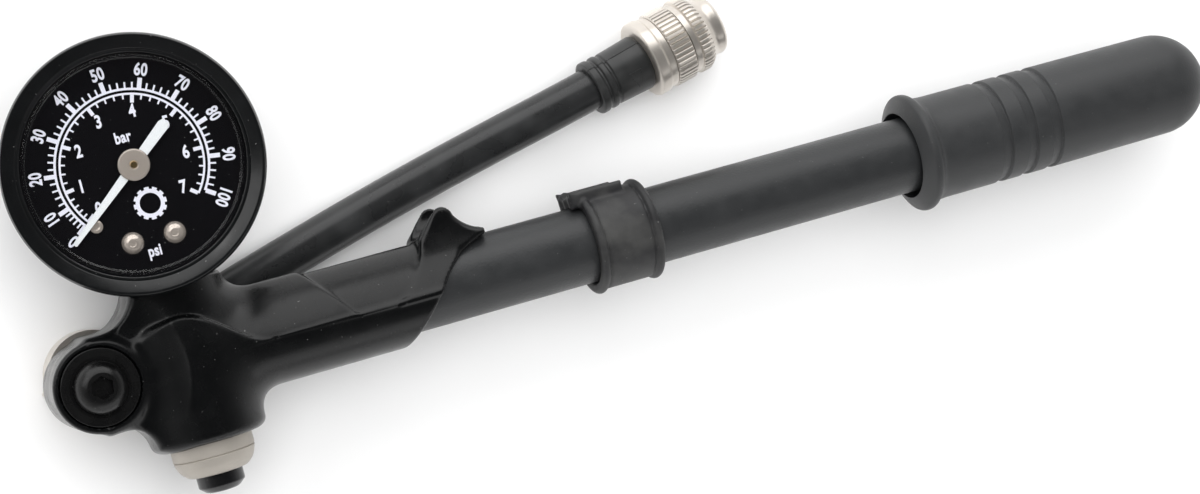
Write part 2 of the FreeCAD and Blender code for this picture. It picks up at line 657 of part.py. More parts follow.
def gauge_bezel():
    """Snap-on bezel ring with a rounded front edge, a seat for the lens and one for the dial."""
    edges = [
        line((BEZEL_BACK, CASE_RADIUS), (BEZEL_BACK, GAUGE_RADIUS - 0.5)),
        line((BEZEL_BACK, GAUGE_RADIUS - 0.5), (BEZEL_BACK + 0.5, GAUGE_RADIUS)),
        line((BEZEL_BACK + 0.5, GAUGE_RADIUS), (BEZEL_FRONT - 1.6, GAUGE_RADIUS)),
        arc((BEZEL_FRONT - 1.6, GAUGE_RADIUS), (BEZEL_FRONT - 0.5, 24.75), (BEZEL_FRONT, BEZEL_FACE_RADIUS)),
        line((BEZEL_FRONT, BEZEL_FACE_RADIUS), (BEZEL_FRONT - 0.5, BEZEL_INNER_RADIUS)),
        line((BEZEL_FRONT - 0.5, BEZEL_INNER_RADIUS), (LENS_FRONT, BEZEL_INNER_RADIUS)),
        line((LENS_FRONT, BEZEL_INNER_RADIUS), (LENS_FRONT, 22.6)),
        line((LENS_FRONT, 22.6), (CASE_FRONT, 22.6)),
        line((CASE_FRONT, 22.6), (CASE_FRONT, CASE_RADIUS)),
        line((CASE_FRONT, CASE_RADIUS), (BEZEL_BACK, CASE_RADIUS)),
    ]
    return beside_gauge(turned(edges, AXIS_Z))


def gauge_lens():
    """Clear window with a skirt that holds the dial down."""
    window = cylinder(22.6, LENS_BACK, LENS_FRONT, AXIS_Z)
    skirt = ring(22.6, 21.6, DIAL_TOP, LENS_BACK, AXIS_Z)
    return beside_gauge(joined(window, skirt))


def dial_plate():
    """Dial with a hole for the arbor."""
    dial = ring(22.5, 1.5, DIAL_TOP - DIAL_THICKNESS, DIAL_TOP, AXIS_Z)
    for place in RIVET_PLACES + (STOP_PIN_PLACE,):
        dial = dial.cut(cylinder(0.7, 0, 20, AXIS_Z, place))
    return beside_gauge(dial)


def rivet(place):
    """Domed rivet that holds the dial to a post of the movement."""
    head = turned([
        line((DIAL_TOP, 0), (DIAL_TOP, 1.85)),
        arc((DIAL_TOP, 1.85), (DIAL_TOP + 0.75, 1.3), (DIAL_TOP + 1.0, 0.7)),
        line((DIAL_TOP + 1.0, 0.7), (DIAL_TOP + 1.0, 0)),
        line((DIAL_TOP + 1.0, 0), (DIAL_TOP, 0)),
    ], AXIS_Z, place)
    shank = cylinder(0.7, PLATE_HIGH + PLATE_THICKNESS, DIAL_TOP, AXIS_Z, place)
    return joined(head, shank)


def dial_rivets():
    """The two rivets."""
    return Part.makeCompound([beside_gauge(rivet(place)) for place in RIVET_PLACES])


def stop_pin():
    """Pin in the dial that the pointer rests against at zero."""
    pin = cylinder(0.7, DIAL_TOP - DIAL_THICKNESS, DIAL_TOP, AXIS_Z, STOP_PIN_PLACE)
    head = cylinder(1.3, DIAL_TOP, DIAL_TOP + 0.7, AXIS_Z, STOP_PIN_PLACE)
    return beside_gauge(joined(pin, head))


def pointer():
    """Flat pointer with a long tapering tip and a broad blunt tail, lying at zero."""
    side = polygon([
        (POINTER_TIP, 0.45),
        (3.0, 0.85),
        (-3.0, 0.95),
        (-POINTER_TAIL, 1.1),
        (-POINTER_TAIL, -1.1),
        (-3.0, -0.95),
        (3.0, -0.85),
        (POINTER_TIP, -0.45),
    ])
    blade = flat(side, (POINTER_HEIGHT, POINTER_HEIGHT + 0.4))
    eye = cylinder(1.6, POINTER_HEIGHT, POINTER_HEIGHT + 0.4, AXIS_Z)
    hole = cylinder(ARBOR_RADIUS, 0, 20, AXIS_Z)
    blade = joined(blade, eye).cut(hole)
    blade.rotate(ORIGIN, AXIS_Z, ZERO_ANGLE)
    return beside_gauge(blade)


def pointer_hub():
    """Turned disc pressed on the arbor over the pointer."""
    low = POINTER_HEIGHT + 0.4
    hub = ring(HUB_RADIUS, ARBOR_RADIUS, low, low + 0.8, AXIS_Z)
    return beside_gauge(rounded(hub, 0.25, circle_at(HUB_RADIUS, low + 0.8, AXIS_Z)))


def pinion_arbor():
    """Arbor with its pinion, between the movement's plates and up through the dial."""
    arbor = cylinder(ARBOR_RADIUS, PLATE_LOW, POINTER_HEIGHT + 1.2, AXIS_Z)
    pinion = cylinder(PINION_RADIUS - 0.1, 5.6, 7.6, AXIS_Z)
    return beside_gauge(joined(arbor, pinion))


def movement_frame():
    """Two brass plates and their pillars, standing on the socket."""
    outline = polygon([(-6.5, -18), (6.5, -18), (6.5, -11), (3.2, 3.4), (-3.2, 3.4), (-6.5, -11)])
    frame = flat(outline, (PLATE_LOW, PLATE_LOW + PLATE_THICKNESS))
    frame = frame.fuse(flat(outline, (PLATE_HIGH, PLATE_HIGH + PLATE_THICKNESS)))
    for side in (-1, 1):
        pillar = cylinder(0.7, PLATE_LOW, PLATE_HIGH + PLATE_THICKNESS, AXIS_Z, V(5.3 * side, -17.1, 0))
        frame = frame.fuse(pillar)
    for centre in (ORIGIN, SECTOR_PIVOT):
        frame = frame.cut(cylinder(ARBOR_RADIUS + FIT, 0, 12, AXIS_Z, centre))
    return beside_gauge(frame.removeSplitter())


def sector_gear():
    """Toothed sector, drawn to its pitch circle, with its arbor and the tail that the link pulls."""
    heights = (SECTOR_HEIGHT, SECTOR_HEIGHT + SECTOR_THICKNESS)
    reach = SECTOR_RADIUS - 0.1
    half = math.radians(26)
    tip_left = (-reach * math.sin(half), reach * math.cos(half))
    tip_right = (reach * math.sin(half), reach * math.cos(half))
    blade = flat([
        line((-1.2, 0), tip_left),
        arc(tip_left, (0, reach), tip_right),
        line(tip_right, (1.2, 0)),
        line((1.2, 0), (-1.2, 0)),
    ], heights)
    tail = flat(polygon([(0, -1.2), (TAIL_LENGTH, -0.9), (TAIL_LENGTH, 0.9), (0, 1.2)]), heights)
    eye = cylinder(1.8, heights[0], heights[1], AXIS_Z)
    arbor = cylinder(ARBOR_RADIUS, PLATE_LOW, PLATE_HIGH + PLATE_THICKNESS, AXIS_Z)
    gear = joined(blade, tail, eye, arbor)
    gear.rotate(ORIGIN, AXIS_Z, -SECTOR_TURN)
    gear.translate(SECTOR_PIVOT)
    return beside_gauge(gear)


def bourdon_tube():
    """Flattened tube bent to a C from the socket round to its free tip."""
    section = [
        line((BOURDON_RADIUS - 0.8, -3.0), (BOURDON_RADIUS + 0.8, -3.0)),
        line((BOURDON_RADIUS + 0.8, -3.0), (BOURDON_RADIUS + 0.8, 3.0)),
        line((BOURDON_RADIUS + 0.8, 3.0), (BOURDON_RADIUS - 0.8, 3.0)),
        line((BOURDON_RADIUS - 0.8, 3.0), (BOURDON_RADIUS - 0.8, -3.0)),
    ]
    face = Part.Face(Part.Wire(section))
    face.rotate(ORIGIN, AXIS_X, 90)
    face.rotate(ORIGIN, AXIS_Z, BOURDON_TIP)
    return beside_gauge(face.revolve(ORIGIN, AXIS_Z, 245))


def gauge_link():
    """Link from the Bourdon tube's tip to a pin under the sector's tail."""
    turn = math.radians(-SECTOR_TURN)
    tail_end = SECTOR_PIVOT + V(math.cos(turn), math.sin(turn), 0) * (TAIL_LENGTH - 0.6)
    tip_turn = math.radians(BOURDON_TIP + 3)
    tip = V(math.cos(tip_turn), math.sin(tip_turn), 0) * BOURDON_RADIUS
    along = (tip - tail_end).normalize()
    across = V(-along.y, along.x, 0) * 0.6
    corners = [tail_end - across, tip - across, tip + across, tail_end + across]
    bar = flat(polygon([(corner.x, corner.y) for corner in corners]), (LINK_HEIGHT, LINK_HEIGHT + 0.4))
    tail_pin = cylinder(0.5, LINK_HEIGHT, SECTOR_HEIGHT - GAP, AXIS_Z, tail_end)
    tip_pin = cylinder(0.5, 3.0, LINK_HEIGHT, AXIS_Z, tip)
    return beside_gauge(joined(bar, tail_pin, tip_pin))


def gauge_socket():
    """Brass socket: threaded stem, collar and the block that carries the movement and the tube."""
    stem_bottom = GAUGE_PORT_BOTTOM + 0.5 - GAUGE_CENTRE_Y
    neck_top = NECK_TOP - GAUGE_CENTRE_Y
    stem = cylinder(GAUGE_PORT_RADIUS, stem_bottom, neck_top, AXIS_Y)
    collar = cylinder(6.4, neck_top, neck_top + 2.4, AXIS_Y)
    block = box((-4.8, 4.8), (neck_top + 1.5, -17.6), (-4.4, 3.7))
    arm = box((-6.0, 6.0), (-18.2, -14.6), (-4.4, 3.0))
    body = joined(stem, collar, block, arm)
    socket = body.cut(cylinder(1.2, stem_bottom - 1, -16.5, AXIS_Y))
    return beside_gauge(socket.cut(ring(18.0, 16.0, -3.2, 3.2, AXIS_Z)))


def hairspring():
    """Flat spiral that takes up the backlash of the pinion."""
    edges = []
    inner = 1.1
    step = 0.55
    side = 1
    start = V(inner, 0, 8.0)
    for k in range(7):
        radius = inner + step * (k + 1) / 2
        centre = V(start.x - side * radius, 0, 8.0)
        middle = V(centre.x, side * radius, 8.0)
        end = V(centre.x - side * radius, 0, 8.0)
        edges.append(Part.Arc(start, middle, end).toShape())
        start = end
        side = -side
    path = Part.Wire(edges)
    section = Part.Wire(Part.makeCircle(0.1, V(inner, 0, 8.0), AXIS_Y))
    return beside_gauge(path.makePipeShell([section], True, False))


def all_pieces():
    """Every node's solid, by name."""
    bush = ring(BUSH_RADIUS, ROD_RADIUS + FIT, GLAND_START, BARREL_END + GLAND_FLANGE, AXIS_X)
    ball = Part.makeSphere(CHECK_BALL_RADIUS, V(check_ball_centre(), 0, 0))
    spring_room = check_ball_centre() - CHECK_BALL_RADIUS - CHECK_CHAMBER_START
    bumper = ring(7.4, ROD_RADIUS, BARREL_END + GLAND_FLANGE + GAP, HANDLE_FLOOR, AXIS_X)
    insert = ring(INSERT_RADIUS, ROD_RADIUS, HANDLE_FLOOR, HANDLE_FLOOR + 5, AXIS_X)
    swivel_seals = [torus(4.4, 0.52, place, AXIS_Z, PIVOT) for place in SEAL_PLACES]
    valve_seal = ring(4.4, 1.6, SEAL_START, SEAL_START + SEAL_THICKNESS, AXIS_X)
    pin = cylinder(PIN_RADIUS, 2.0, SEAL_END - 0.3, AXIS_X)
    stem_seal = ring(STEM_SEAL_RADIUS, GAUGE_PORT_RADIUS, NECK_TOP - STEM_SEAL_THICKNESS, NECK_TOP, AXIS_Y)
    return {
        "head_casting": head_casting(),
        "barrel_tube": ring(BARREL_RADIUS, BORE_RADIUS, BARREL_START, BARREL_END, AXIS_X),
        "rod_gland": rod_gland(),
        "rod_bush": bush,
        "check_seat": check_seat(),
        "check_ball": ball,
        "check_spring": coil(1.7, 0.25, spring_room, 3.5, AXIS_X, V(CHECK_CHAMBER_START + 0.2, 0, 0)),
        "piston": piston(),
        "piston_ring": torus(5.85, 0.85, PISTON_RING_PLACE, AXIS_X),
        "piston_rod": piston_rod(),
        "rod_clip": ring(4.4, 2.2, ROD_CLIP_GROOVE, ROD_CLIP_GROOVE + 0.8, AXIS_X),
        "handle": handle(),
        "handle_insert": insert,
        "handle_bumper": bumper,
        "hose_clip": hose_clip(),
        "bleed_cap": bleed_cap(),
        "bleed_button": bleed_button(),
        "bleed_stem": bleed_stem(),
        "bleed_seal": torus(1.75, 0.5, -9.5, AXIS_Y),
        "bleed_spring": coil(3.2, 0.35, 4.6, 3.5, AXIS_Y * -1, V(0, -12.45, 0)),
        "swivel_elbow": swivel_elbow(),
        "swivel_seals": Part.makeCompound(swivel_seals),
        "pivot_bolt": pivot_bolt(),
        "bolt_washer": bolt_washer(),
        "hose": hose(),
        "hose_ferrule": hose_ferrule(),
        "chuck_body": chuck_body(),
        "chuck_ring": chuck_ring(),
        "chuck_collar": chuck_collar(),
        "chuck_seal": on_chuck(valve_seal),
        "chuck_pin": on_chuck(pin),
        "gauge_case": gauge_case(),
        "gauge_bezel": gauge_bezel(),
        "gauge_lens": gauge_lens(),
        "dial_plate": dial_plate(),
        "dial_rivets": dial_rivets(),
        "stop_pin": stop_pin(),
        "pointer": pointer(),
        "pointer_hub": pointer_hub(),
        "pinion_arbor": pinion_arbor(),
        "hairspring": hairspring(),
        "movement_frame": movement_frame(),
        "sector_gear": sector_gear(),
        "gauge_link": gauge_link(),
        "bourdon_tube": bourdon_tube(),
        "gauge_socket": gauge_socket(),
        "stem_seal": stem_seal,
    }


def main():
    """Shifts every piece to the footprint's middle and writes its file."""
    os.makedirs("parts", exist_ok=True)
    shift = V(0, 0, AXIS_HEIGHT) - FOOTPRINT_MIDDLE
    for name, piece in all_pieces().items():
        placed = piece.copy()
        placed.translate(shift)
        placed.exportStep("parts/%s.step" % name)


main()
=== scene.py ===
"""Looks of a mini pump with a dial gauge, a swivelling hose and a screw-on chuck.

The pump lies on its back on a pale table. Local shapes are in millimetres, about the crossing of the
barrel's axis and the head's upright axis: X along the barrel, Y towards the gauge, Z up.
"""
import bmesh
import bpy
import json
import math
import numpy as np
from mathutils import Matrix, Vector


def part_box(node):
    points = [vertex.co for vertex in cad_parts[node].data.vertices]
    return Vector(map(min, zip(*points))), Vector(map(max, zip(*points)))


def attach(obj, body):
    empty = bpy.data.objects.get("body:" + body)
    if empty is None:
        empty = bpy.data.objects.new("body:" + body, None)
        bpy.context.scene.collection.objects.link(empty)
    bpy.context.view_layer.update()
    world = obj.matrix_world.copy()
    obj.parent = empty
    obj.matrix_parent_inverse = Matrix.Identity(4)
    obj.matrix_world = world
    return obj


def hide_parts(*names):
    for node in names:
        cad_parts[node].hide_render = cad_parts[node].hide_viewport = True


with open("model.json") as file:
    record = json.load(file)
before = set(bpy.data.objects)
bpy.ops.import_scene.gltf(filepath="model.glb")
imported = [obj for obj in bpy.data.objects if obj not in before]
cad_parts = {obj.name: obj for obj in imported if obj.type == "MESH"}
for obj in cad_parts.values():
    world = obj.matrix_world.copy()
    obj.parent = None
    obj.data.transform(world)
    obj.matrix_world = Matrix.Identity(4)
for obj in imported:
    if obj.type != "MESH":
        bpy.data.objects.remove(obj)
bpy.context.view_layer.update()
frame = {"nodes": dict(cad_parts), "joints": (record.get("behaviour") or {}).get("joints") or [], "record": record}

MM = 0.001
JOINTS = {joint["name"]: joint for joint in frame["joints"]}
X_AXIS = Vector((1, 0, 0))
Y_AXIS = Vector((0, 1, 0))
Z_AXIS = Vector((0, 0, 1))


# Places and sizes, read from the frame

def middle(node):
    """Middle of a CAD node's box."""
    low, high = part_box(node)
    return (low + high) / 2


def size(node):
    """Size of a CAD node's box in millimetres."""
    low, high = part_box(node)
    return (high - low) / MM


def frame_at(origin, along, up):
    """Matrix from a local frame in millimetres, X along and Y up, to the world."""
    x = Vector(along).normalized()
    z = x.cross(Vector(up)).normalized()
    y = z.cross(x)
    turn = Matrix((x, y, z)).transposed().to_4x4()
    return Matrix.Translation(origin) @ turn @ Matrix.Scale(MM, 4)


CENTRE = Vector((middle("bleed_cap").x, middle("barrel_tube").y, middle("barrel_tube").z))
PUMP = frame_at(CENTRE, X_AXIS, Y_AXIS)
DOWN = frame_at(CENTRE, -Y_AXIS, X_AXIS)
PIVOT = Vector(JOINTS["hose_swivel"]["pos_m"])
PIVOT.z = CENTRE.z
LUG = frame_at(PIVOT, Z_AXIS, Y_AXIS)
DIAL_NORMAL = -Vector(JOINTS["pointer_turn"]["axis"])
DIAL_CENTRE = Vector((CENTRE.x, JOINTS["pointer_turn"]["pos_m"][1], CENTRE.z))
DIAL = frame_at(DIAL_CENTRE, Y_AXIS.cross(DIAL_NORMAL), Y_AXIS)
GAUGE = frame_at(DIAL_CENTRE, DIAL_NORMAL, Y_AXIS)
CHUCK_AXIS = Vector(JOINTS["chuck_ring_turn"]["axis"])

BARREL_RADIUS = size("barrel_tube").z / 2
PIVOT_LOCAL = (PIVOT - CENTRE) / MM

# The hose's route: the control points of its spline, and the chuck at its end
SURFACE = -CENTRE.z / MM
HOSE_ROUTE = [(x, y, SURFACE + height) for x, y, height in (
    (-9.8, 2.0, 4.80), (8.0, 7.6, 4.75), (30.0, 13.9, 4.75), (52.0, 19.8, 5.00), (73.5, 25.0, 6.90),
    (93.2, 29.4, 8.55), (110.7, 33.6, 8.55),
)]
HOSE_DIAMETER = 9.0
CHUCK = frame_at(PUMP @ Vector(HOSE_ROUTE[-1]), CHUCK_AXIS, Z_AXIS)


# Materials

class Shader:
    """Builds one node material step by step."""

    def __init__(self, name):
        self.material = bpy.data.materials.new(name)
        self.material.use_nodes = True
        self.nodes = self.material.node_tree.nodes
        self.links = self.material.node_tree.links
        self.surface = self.nodes["Principled BSDF"]
        self.place = self.nodes.new("ShaderNodeTexCoord").outputs["Object"]

    def set(self, **values):
        """Sets the surface's own sockets; an underscore stands for a space."""
        for name, value in values.items():
            self.surface.inputs[name.replace("_", " ")].default_value = value

    def link(self, start, end):
        """Joins an output to an input."""
        self.links.new(start, end)

    def noise(self, scale, detail=3.0):
        """Noise over the piece; its scale is in features per millimetre."""
        texture = self.nodes.new("ShaderNodeTexNoise")
        texture.inputs["Scale"].default_value = scale / MM
        texture.inputs["Detail"].default_value = detail
        self.link(self.place, texture.inputs["Vector"])
        return texture.outputs["Fac"]

    def ramp(self, value, low, high, start=0.0, end=1.0):
        """Maps a value from low..high to start..end."""
        node = self.nodes.new("ShaderNodeMapRange")
        node.inputs["From Min"].default_value = low
        node.inputs["From Max"].default_value = high
        node.inputs["To Min"].default_value = start
        node.inputs["To Max"].default_value = end
        self.link(value, node.inputs["Value"])
        return node.outputs["Result"]

    def mix(self, share, first, second):
        """Mixes two colours; each is a colour or an output."""
        node = self.nodes.new("ShaderNodeMix")
        node.data_type = "RGBA"
        self.link(share, node.inputs["Factor"])
        for socket, colour in ((node.inputs["A"], first), (node.inputs["B"], second)):
            if isinstance(colour, tuple):
                socket.default_value = colour + (1.0,)
            else:
                self.link(colour, socket)
        return node.outputs["Result"]

    def bump(self, height, strength, distance):
        """Bump from a height; its distance is in millimetres."""
        node = self.nodes.new("ShaderNodeBump")
        node.inputs["Strength"].default_value = strength
        node.inputs["Distance"].default_value = distance * MM
        self.link(height, node.inputs["Height"])
        return node.outputs["Normal"]

    def done(self, colour=None, roughness=None, normal=None):
        """Joins what was built to the surface and returns the material."""
        for output, name in ((colour, "Base Color"), (roughness, "Roughness"), (normal, "Normal")):
            if output is not None:
                self.link(output, self.surface.inputs[name])
        return self.material


SPREAD = (0.3, 0.7)  # what most of a noise pattern spans
COAT_DUST = (0.09, 0.09, 0.088)
COAT_SPECKS = (0.765, 0.81)  # noise above which specks begin, and above which they are full
RUBBER_DUST = (0.1, 0.1, 0.098)
RUBBER_SPECKS = (0.76, 0.81)
RUBBER_PATCHES = (0.45, 0.7)


def coated(name, colour, worn, roughness, grain, grain_depth, specular=0.5):
    """Satin or matte black coat: fine grain, faint mottling and a few pale specks of dust."""
    shader = Shader(name)
    shader.set(Specular_IOR_Level=specular)
    mottle = shader.noise(0.25, 4.0)
    fine = shader.noise(grain, 2.0)
    specks = shader.ramp(shader.noise(1.9, 1.0), *COAT_SPECKS)
    base = shader.mix(mottle, colour, worn)
    base = shader.mix(specks, base, COAT_DUST)
    rough = shader.ramp(mottle, *SPREAD, roughness - 0.05, roughness + 0.06)
    normal = shader.bump(fine, 0.5, grain_depth)
    return shader.done(base, rough, normal)


def metal(name, colour, shade, roughness, gloss=1.0):
    """Plated or turned metal with faint tool marks; a lower gloss gives a milky, bead-blasted look."""
    shader = Shader(name)
    shader.set(Metallic=gloss)
    mottle = shader.noise(0.3, 4.0)
    marks = shader.noise(3.0, 3.0)
    base = shader.mix(mottle, colour, shade)
    rough = shader.ramp(marks, *SPREAD, roughness - 0.04, roughness + 0.05)
    normal = shader.bump(marks, 0.1, 0.002)
    return shader.done(base, rough, normal)


def rubber(name, colour, dusty, roughness, dust):
    """Rubber with a bloom of dust that lies in patches."""
    shader = Shader(name)
    patches = shader.noise(0.12, 5.0)
    fine = shader.noise(4.0, 2.0)
    share = shader.ramp(patches, *RUBBER_PATCHES, 0.0, dust)
    base = shader.mix(share, colour, dusty)
    specks = shader.ramp(shader.noise(1.7, 1.0), *RUBBER_SPECKS)
    base = shader.mix(specks, base, RUBBER_DUST)
    rough = shader.ramp(patches, *SPREAD, roughness - 0.05, roughness + 0.1)
    normal = shader.bump(fine, 0.3, 0.02)
    return shader.done(base, rough, normal)


INK_THIN = 0.86  # how bright the print is where its ink is thin


def printed(name, colour, roughness):
    """Screen-printed ink or stamped paint with a slight unevenness."""
    shader = Shader(name)
    mottle = shader.noise(2.0, 3.0)
    darker = tuple(INK_THIN * channel for channel in colour)
    base = shader.mix(mottle, colour, darker)
    rough = shader.ramp(mottle, *SPREAD, roughness - 0.05, roughness + 0.05)
    return shader.done(base, rough, shader.bump(mottle, 0.2, 0.01))


WINDOW_GLOSS = 0.034  # share of light mirrored when the window is seen face on
SCHLICK_POWER = 5.0


def clear_window(name):
    """Clear window: passes light straight through, with a mirror-like gloss that grows at a slant.

    The gloss follows Schlick's rule on both sides of the sheet, because light isn't bent on its way through.
    """
    shader = Shader(name)
    clear = shader.nodes.new("ShaderNodeBsdfTransparent")
    gloss = shader.nodes.new("ShaderNodeBsdfGlossy")
    gloss.inputs["Roughness"].default_value = 0.03
    slant = shader.nodes.new("ShaderNodeLayerWeight")
    power = shader.nodes.new("ShaderNodeMath")
    power.operation = "POWER"
    power.inputs[1].default_value = SCHLICK_POWER
    weight = shader.nodes.new("ShaderNodeMath")
    weight.operation = "MULTIPLY_ADD"
    weight.inputs[1].default_value = 1.0 - WINDOW_GLOSS
    weight.inputs[2].default_value = WINDOW_GLOSS
    mixed = shader.nodes.new("ShaderNodeMixShader")
    shader.link(slant.outputs["Facing"], power.inputs[0])
    shader.link(power.outputs["Value"], weight.inputs[0])
    shader.link(weight.outputs["Value"], mixed.inputs["Fac"])
    shader.link(clear.outputs["BSDF"], mixed.inputs[1])
    shader.link(gloss.outputs["BSDF"], mixed.inputs[2])
    output = shader.nodes["Material Output"]
    shader.link(mixed.outputs["Shader"], output.inputs["Surface"])
    shader.nodes.remove(shader.surface)
    return shader.material


# Coats: colour, worn colour, roughness, grain per mm, grain depth in mm, and specular level if not 0.5.
# Metals: colour, darker shade, roughness and gloss. Rubbers: colour, dusty colour, roughness and dust.
LOOKS = (
    (coated, "casting_black", (0.0018, 0.0020, 0.0022), (0.003, 0.0032, 0.0034), 0.25, 3.0, 0.01, 0.38),
    (coated, "barrel_black", (0.016, 0.017, 0.018), (0.026, 0.027, 0.028), 0.42, 2.2, 0.11),
    (coated, "handle_black", (0.019, 0.020, 0.021), (0.032, 0.033, 0.034), 0.46, 2.4, 0.07),
    (coated, "case_black", (0.003, 0.003, 0.0035), (0.005, 0.005, 0.006), 0.22, 3.0, 0.006),
    (coated, "bezel_black", (0.003, 0.0032, 0.0034), (0.005, 0.0055, 0.006), 0.16, 3.0, 0.004),
    (coated, "bolt_black", (0.002, 0.002, 0.0022), (0.005, 0.005, 0.005), 0.27, 1.6, 0.05, 0.4),
    (coated, "button_black", (0.003, 0.003, 0.004), (0.006, 0.006, 0.006), 0.2, 3.0, 0.006),
    (coated, "dial_black", (0.0012, 0.0012, 0.0018), (0.0022, 0.0021, 0.003), 0.6, 3.0, 0.004, 0.04),
    (rubber, "hose_rubber", (0.015, 0.0155, 0.016), (0.032, 0.033, 0.034), 0.27, 0.6),
    (rubber, "clip_rubber", (0.012, 0.012, 0.013), (0.055, 0.055, 0.053), 0.5, 0.8),
    (rubber, "ferrule_black", (0.014, 0.0145, 0.0145), (0.04, 0.04, 0.04), 0.34, 0.7),
    (rubber, "seal_rubber", (0.012, 0.012, 0.012), (0.03, 0.03, 0.03), 0.5, 0.3),
    (metal, "chuck_nickel", (0.72, 0.67, 0.61), (0.66, 0.615, 0.56), 0.32, 0.85),
    (metal, "cap_metal", (0.46, 0.425, 0.38), (0.41, 0.38, 0.34), 0.5, 0.5),
    (metal, "rivet_metal", (0.70, 0.63, 0.56), (0.60, 0.53, 0.47), 0.22, 0.7),
    (metal, "aluminium_bare", (0.72, 0.72, 0.72), (0.62, 0.62, 0.62), 0.3),
    (metal, "steel", (0.62, 0.62, 0.63), (0.52, 0.52, 0.53), 0.2),
    (metal, "brass", (0.72, 0.53, 0.25), (0.6, 0.43, 0.2), 0.3),
    (printed, "pointer_white", (0.74, 0.77, 0.79), 0.45),
    (printed, "ink_white", (0.76, 0.77, 0.86), 0.6),
    (printed, "bush_plastic", (0.7, 0.69, 0.64), 0.5),
    (printed, "piston_plastic", (0.74, 0.73, 0.68), 0.5),
    (printed, "ptfe_white", (0.8, 0.8, 0.78), 0.5),
    (clear_window, "lens_clear"),
)
MATERIALS = {name: build(name, *look) for build, name, *look in LOOKS}


# Mesh helpers

def put(name, data):
    """Object in the scene."""
    thing = bpy.data.objects.new(name, data)
    bpy.context.scene.collection.objects.link(thing)
    return thing


def add_piece(name, mesh, material, body, *replaced, sharp=32.0):
    """A finished piece: material, smooth shading with crisp edges, its body and the nodes it stands for."""
    mesh.materials.append(MATERIALS[material])
    mesh.shade_smooth()
    mesh.set_sharp_from_angle(angle=math.radians(sharp))
    piece = put(name, mesh)
    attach(piece, body)
    if replaced:
        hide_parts(*replaced)
    return piece


def turned_piece(name, corners, place, *rest, sharp=32.0, **shape):
    """A finished piece turned about its local X axis."""
    return add_piece(name, lathe(name, corners, place, **shape), *rest, sharp=sharp)


def new_mesh(name, points, faces, place):
    """Mesh from points in a local frame."""
    mesh = bpy.data.meshes.new(name)
    mesh.from_pydata([tuple(point) for point in points], [], [list(face) for face in faces])
    mesh.transform(place)
    mesh.update()
    return mesh


CRISP = 25  # degrees above which an edge is shown sharp, on finely turned pieces
CORNER_STEPS = 5
MERGE_DISTANCE = 1e-7  # metres


def softened(corners):
    """Outline with its corners rounded: each corner is (along, across) or (along, across, radius)."""
    points = []
    for k, corner in enumerate(corners):
        radius = corner[2] if len(corner) > 2 else 0.0
        here = Vector(corner[:2])
        if not radius or k in (0, len(corners) - 1):
            points.append(here)
            continue
        before = Vector(corners[k - 1][:2]) - here
        after = Vector(corners[k + 1][:2]) - here
        setback = min(radius, 0.49 * before.length, 0.49 * after.length)
        start = here + before.normalized() * setback
        end = here + after.normalized() * setback
        for step in range(CORNER_STEPS + 1):
            t = step / CORNER_STEPS
            points.append(start * (1 - t) ** 2 + here * 2 * t * (1 - t) + end * t ** 2)
    return points


def lathe(name, corners, place, closed=True, segments=160, knurl=None):
    """Round mesh turned about the local X axis; a knurl gives each point's radius at each angle."""
    outline = softened(corners + corners[:1])[:-1] if closed else softened(corners)
    points = []
    faces = []
    rows = len(outline)
    for s in range(segments):
        turn = 2 * math.pi * s / segments
        for along, radius in outline:
            reach = radius + (knurl(along, radius, turn) if knurl else 0.0)
            points.append((along, reach * math.cos(turn), reach * math.sin(turn)))
    for s in range(segments):
        here, there = s * rows, (s + 1) % segments * rows
        for r in range(rows if closed else rows - 1):
            after = (r + 1) % rows
            faces.append((here + r, here + after, there + after, there + r))
    mesh = new_mesh(name, points, faces, place)
    close_poles(mesh)
    return mesh


def close_poles(mesh):
    """Merges the points that a turned outline leaves on its axis, and sets the faces outward."""
    shape = bmesh.new()
    shape.from_mesh(mesh)
    bmesh.ops.remove_doubles(shape, verts=shape.verts, dist=MERGE_DISTANCE)
    bmesh.ops.dissolve_degenerate(shape, edges=shape.edges, dist=MERGE_DISTANCE / 10)
    bmesh.ops.recalc_face_normals(shape, faces=shape.faces)
    shape.to_mesh(mesh)
    shape.free()


def prism(name, outline, low, high, place):
    """Straight solid over a local XY outline."""
    count = len(outline)
    points = [(x, y, z) for z in (low, high) for x, y in outline]
    faces = [tuple(range(count))[::-1], tuple(range(count, 2 * count))]
    for k in range(count):
        after = (k + 1) % count
        faces.append((k, after, count + after, count + k))
    return new_mesh(name, points, faces, place)


# Smooth solids from signed distances, in millimetres

def blend(a, b, width):
    """Smooth union of two distances."""
    overlap = np.maximum(width - np.abs(a - b), 0) / width
    return np.minimum(a, b) - overlap * overlap * width / 4


def trim(a, b, width):
    """Smooth intersection of two distances."""
    return -blend(-a, -b, width)


def can(across, along, radius, low, high, edge):
    """Distance to a cylinder with rounded edges, from the distance to its axis and the place along it."""
    out = across - radius + edge
    past = np.abs(along - (low + high) / 2) - (high - low) / 2 + edge
    return np.hypot(np.maximum(out, 0), np.maximum(past, 0)) + np.minimum(np.maximum(out, past), 0) - edge


def plate(flat_distance, along, low, high, edge):
    """Distance to a plate with rounded edges, from the distance to its outline."""
    return can(flat_distance, along, 0.0, low, high, edge)


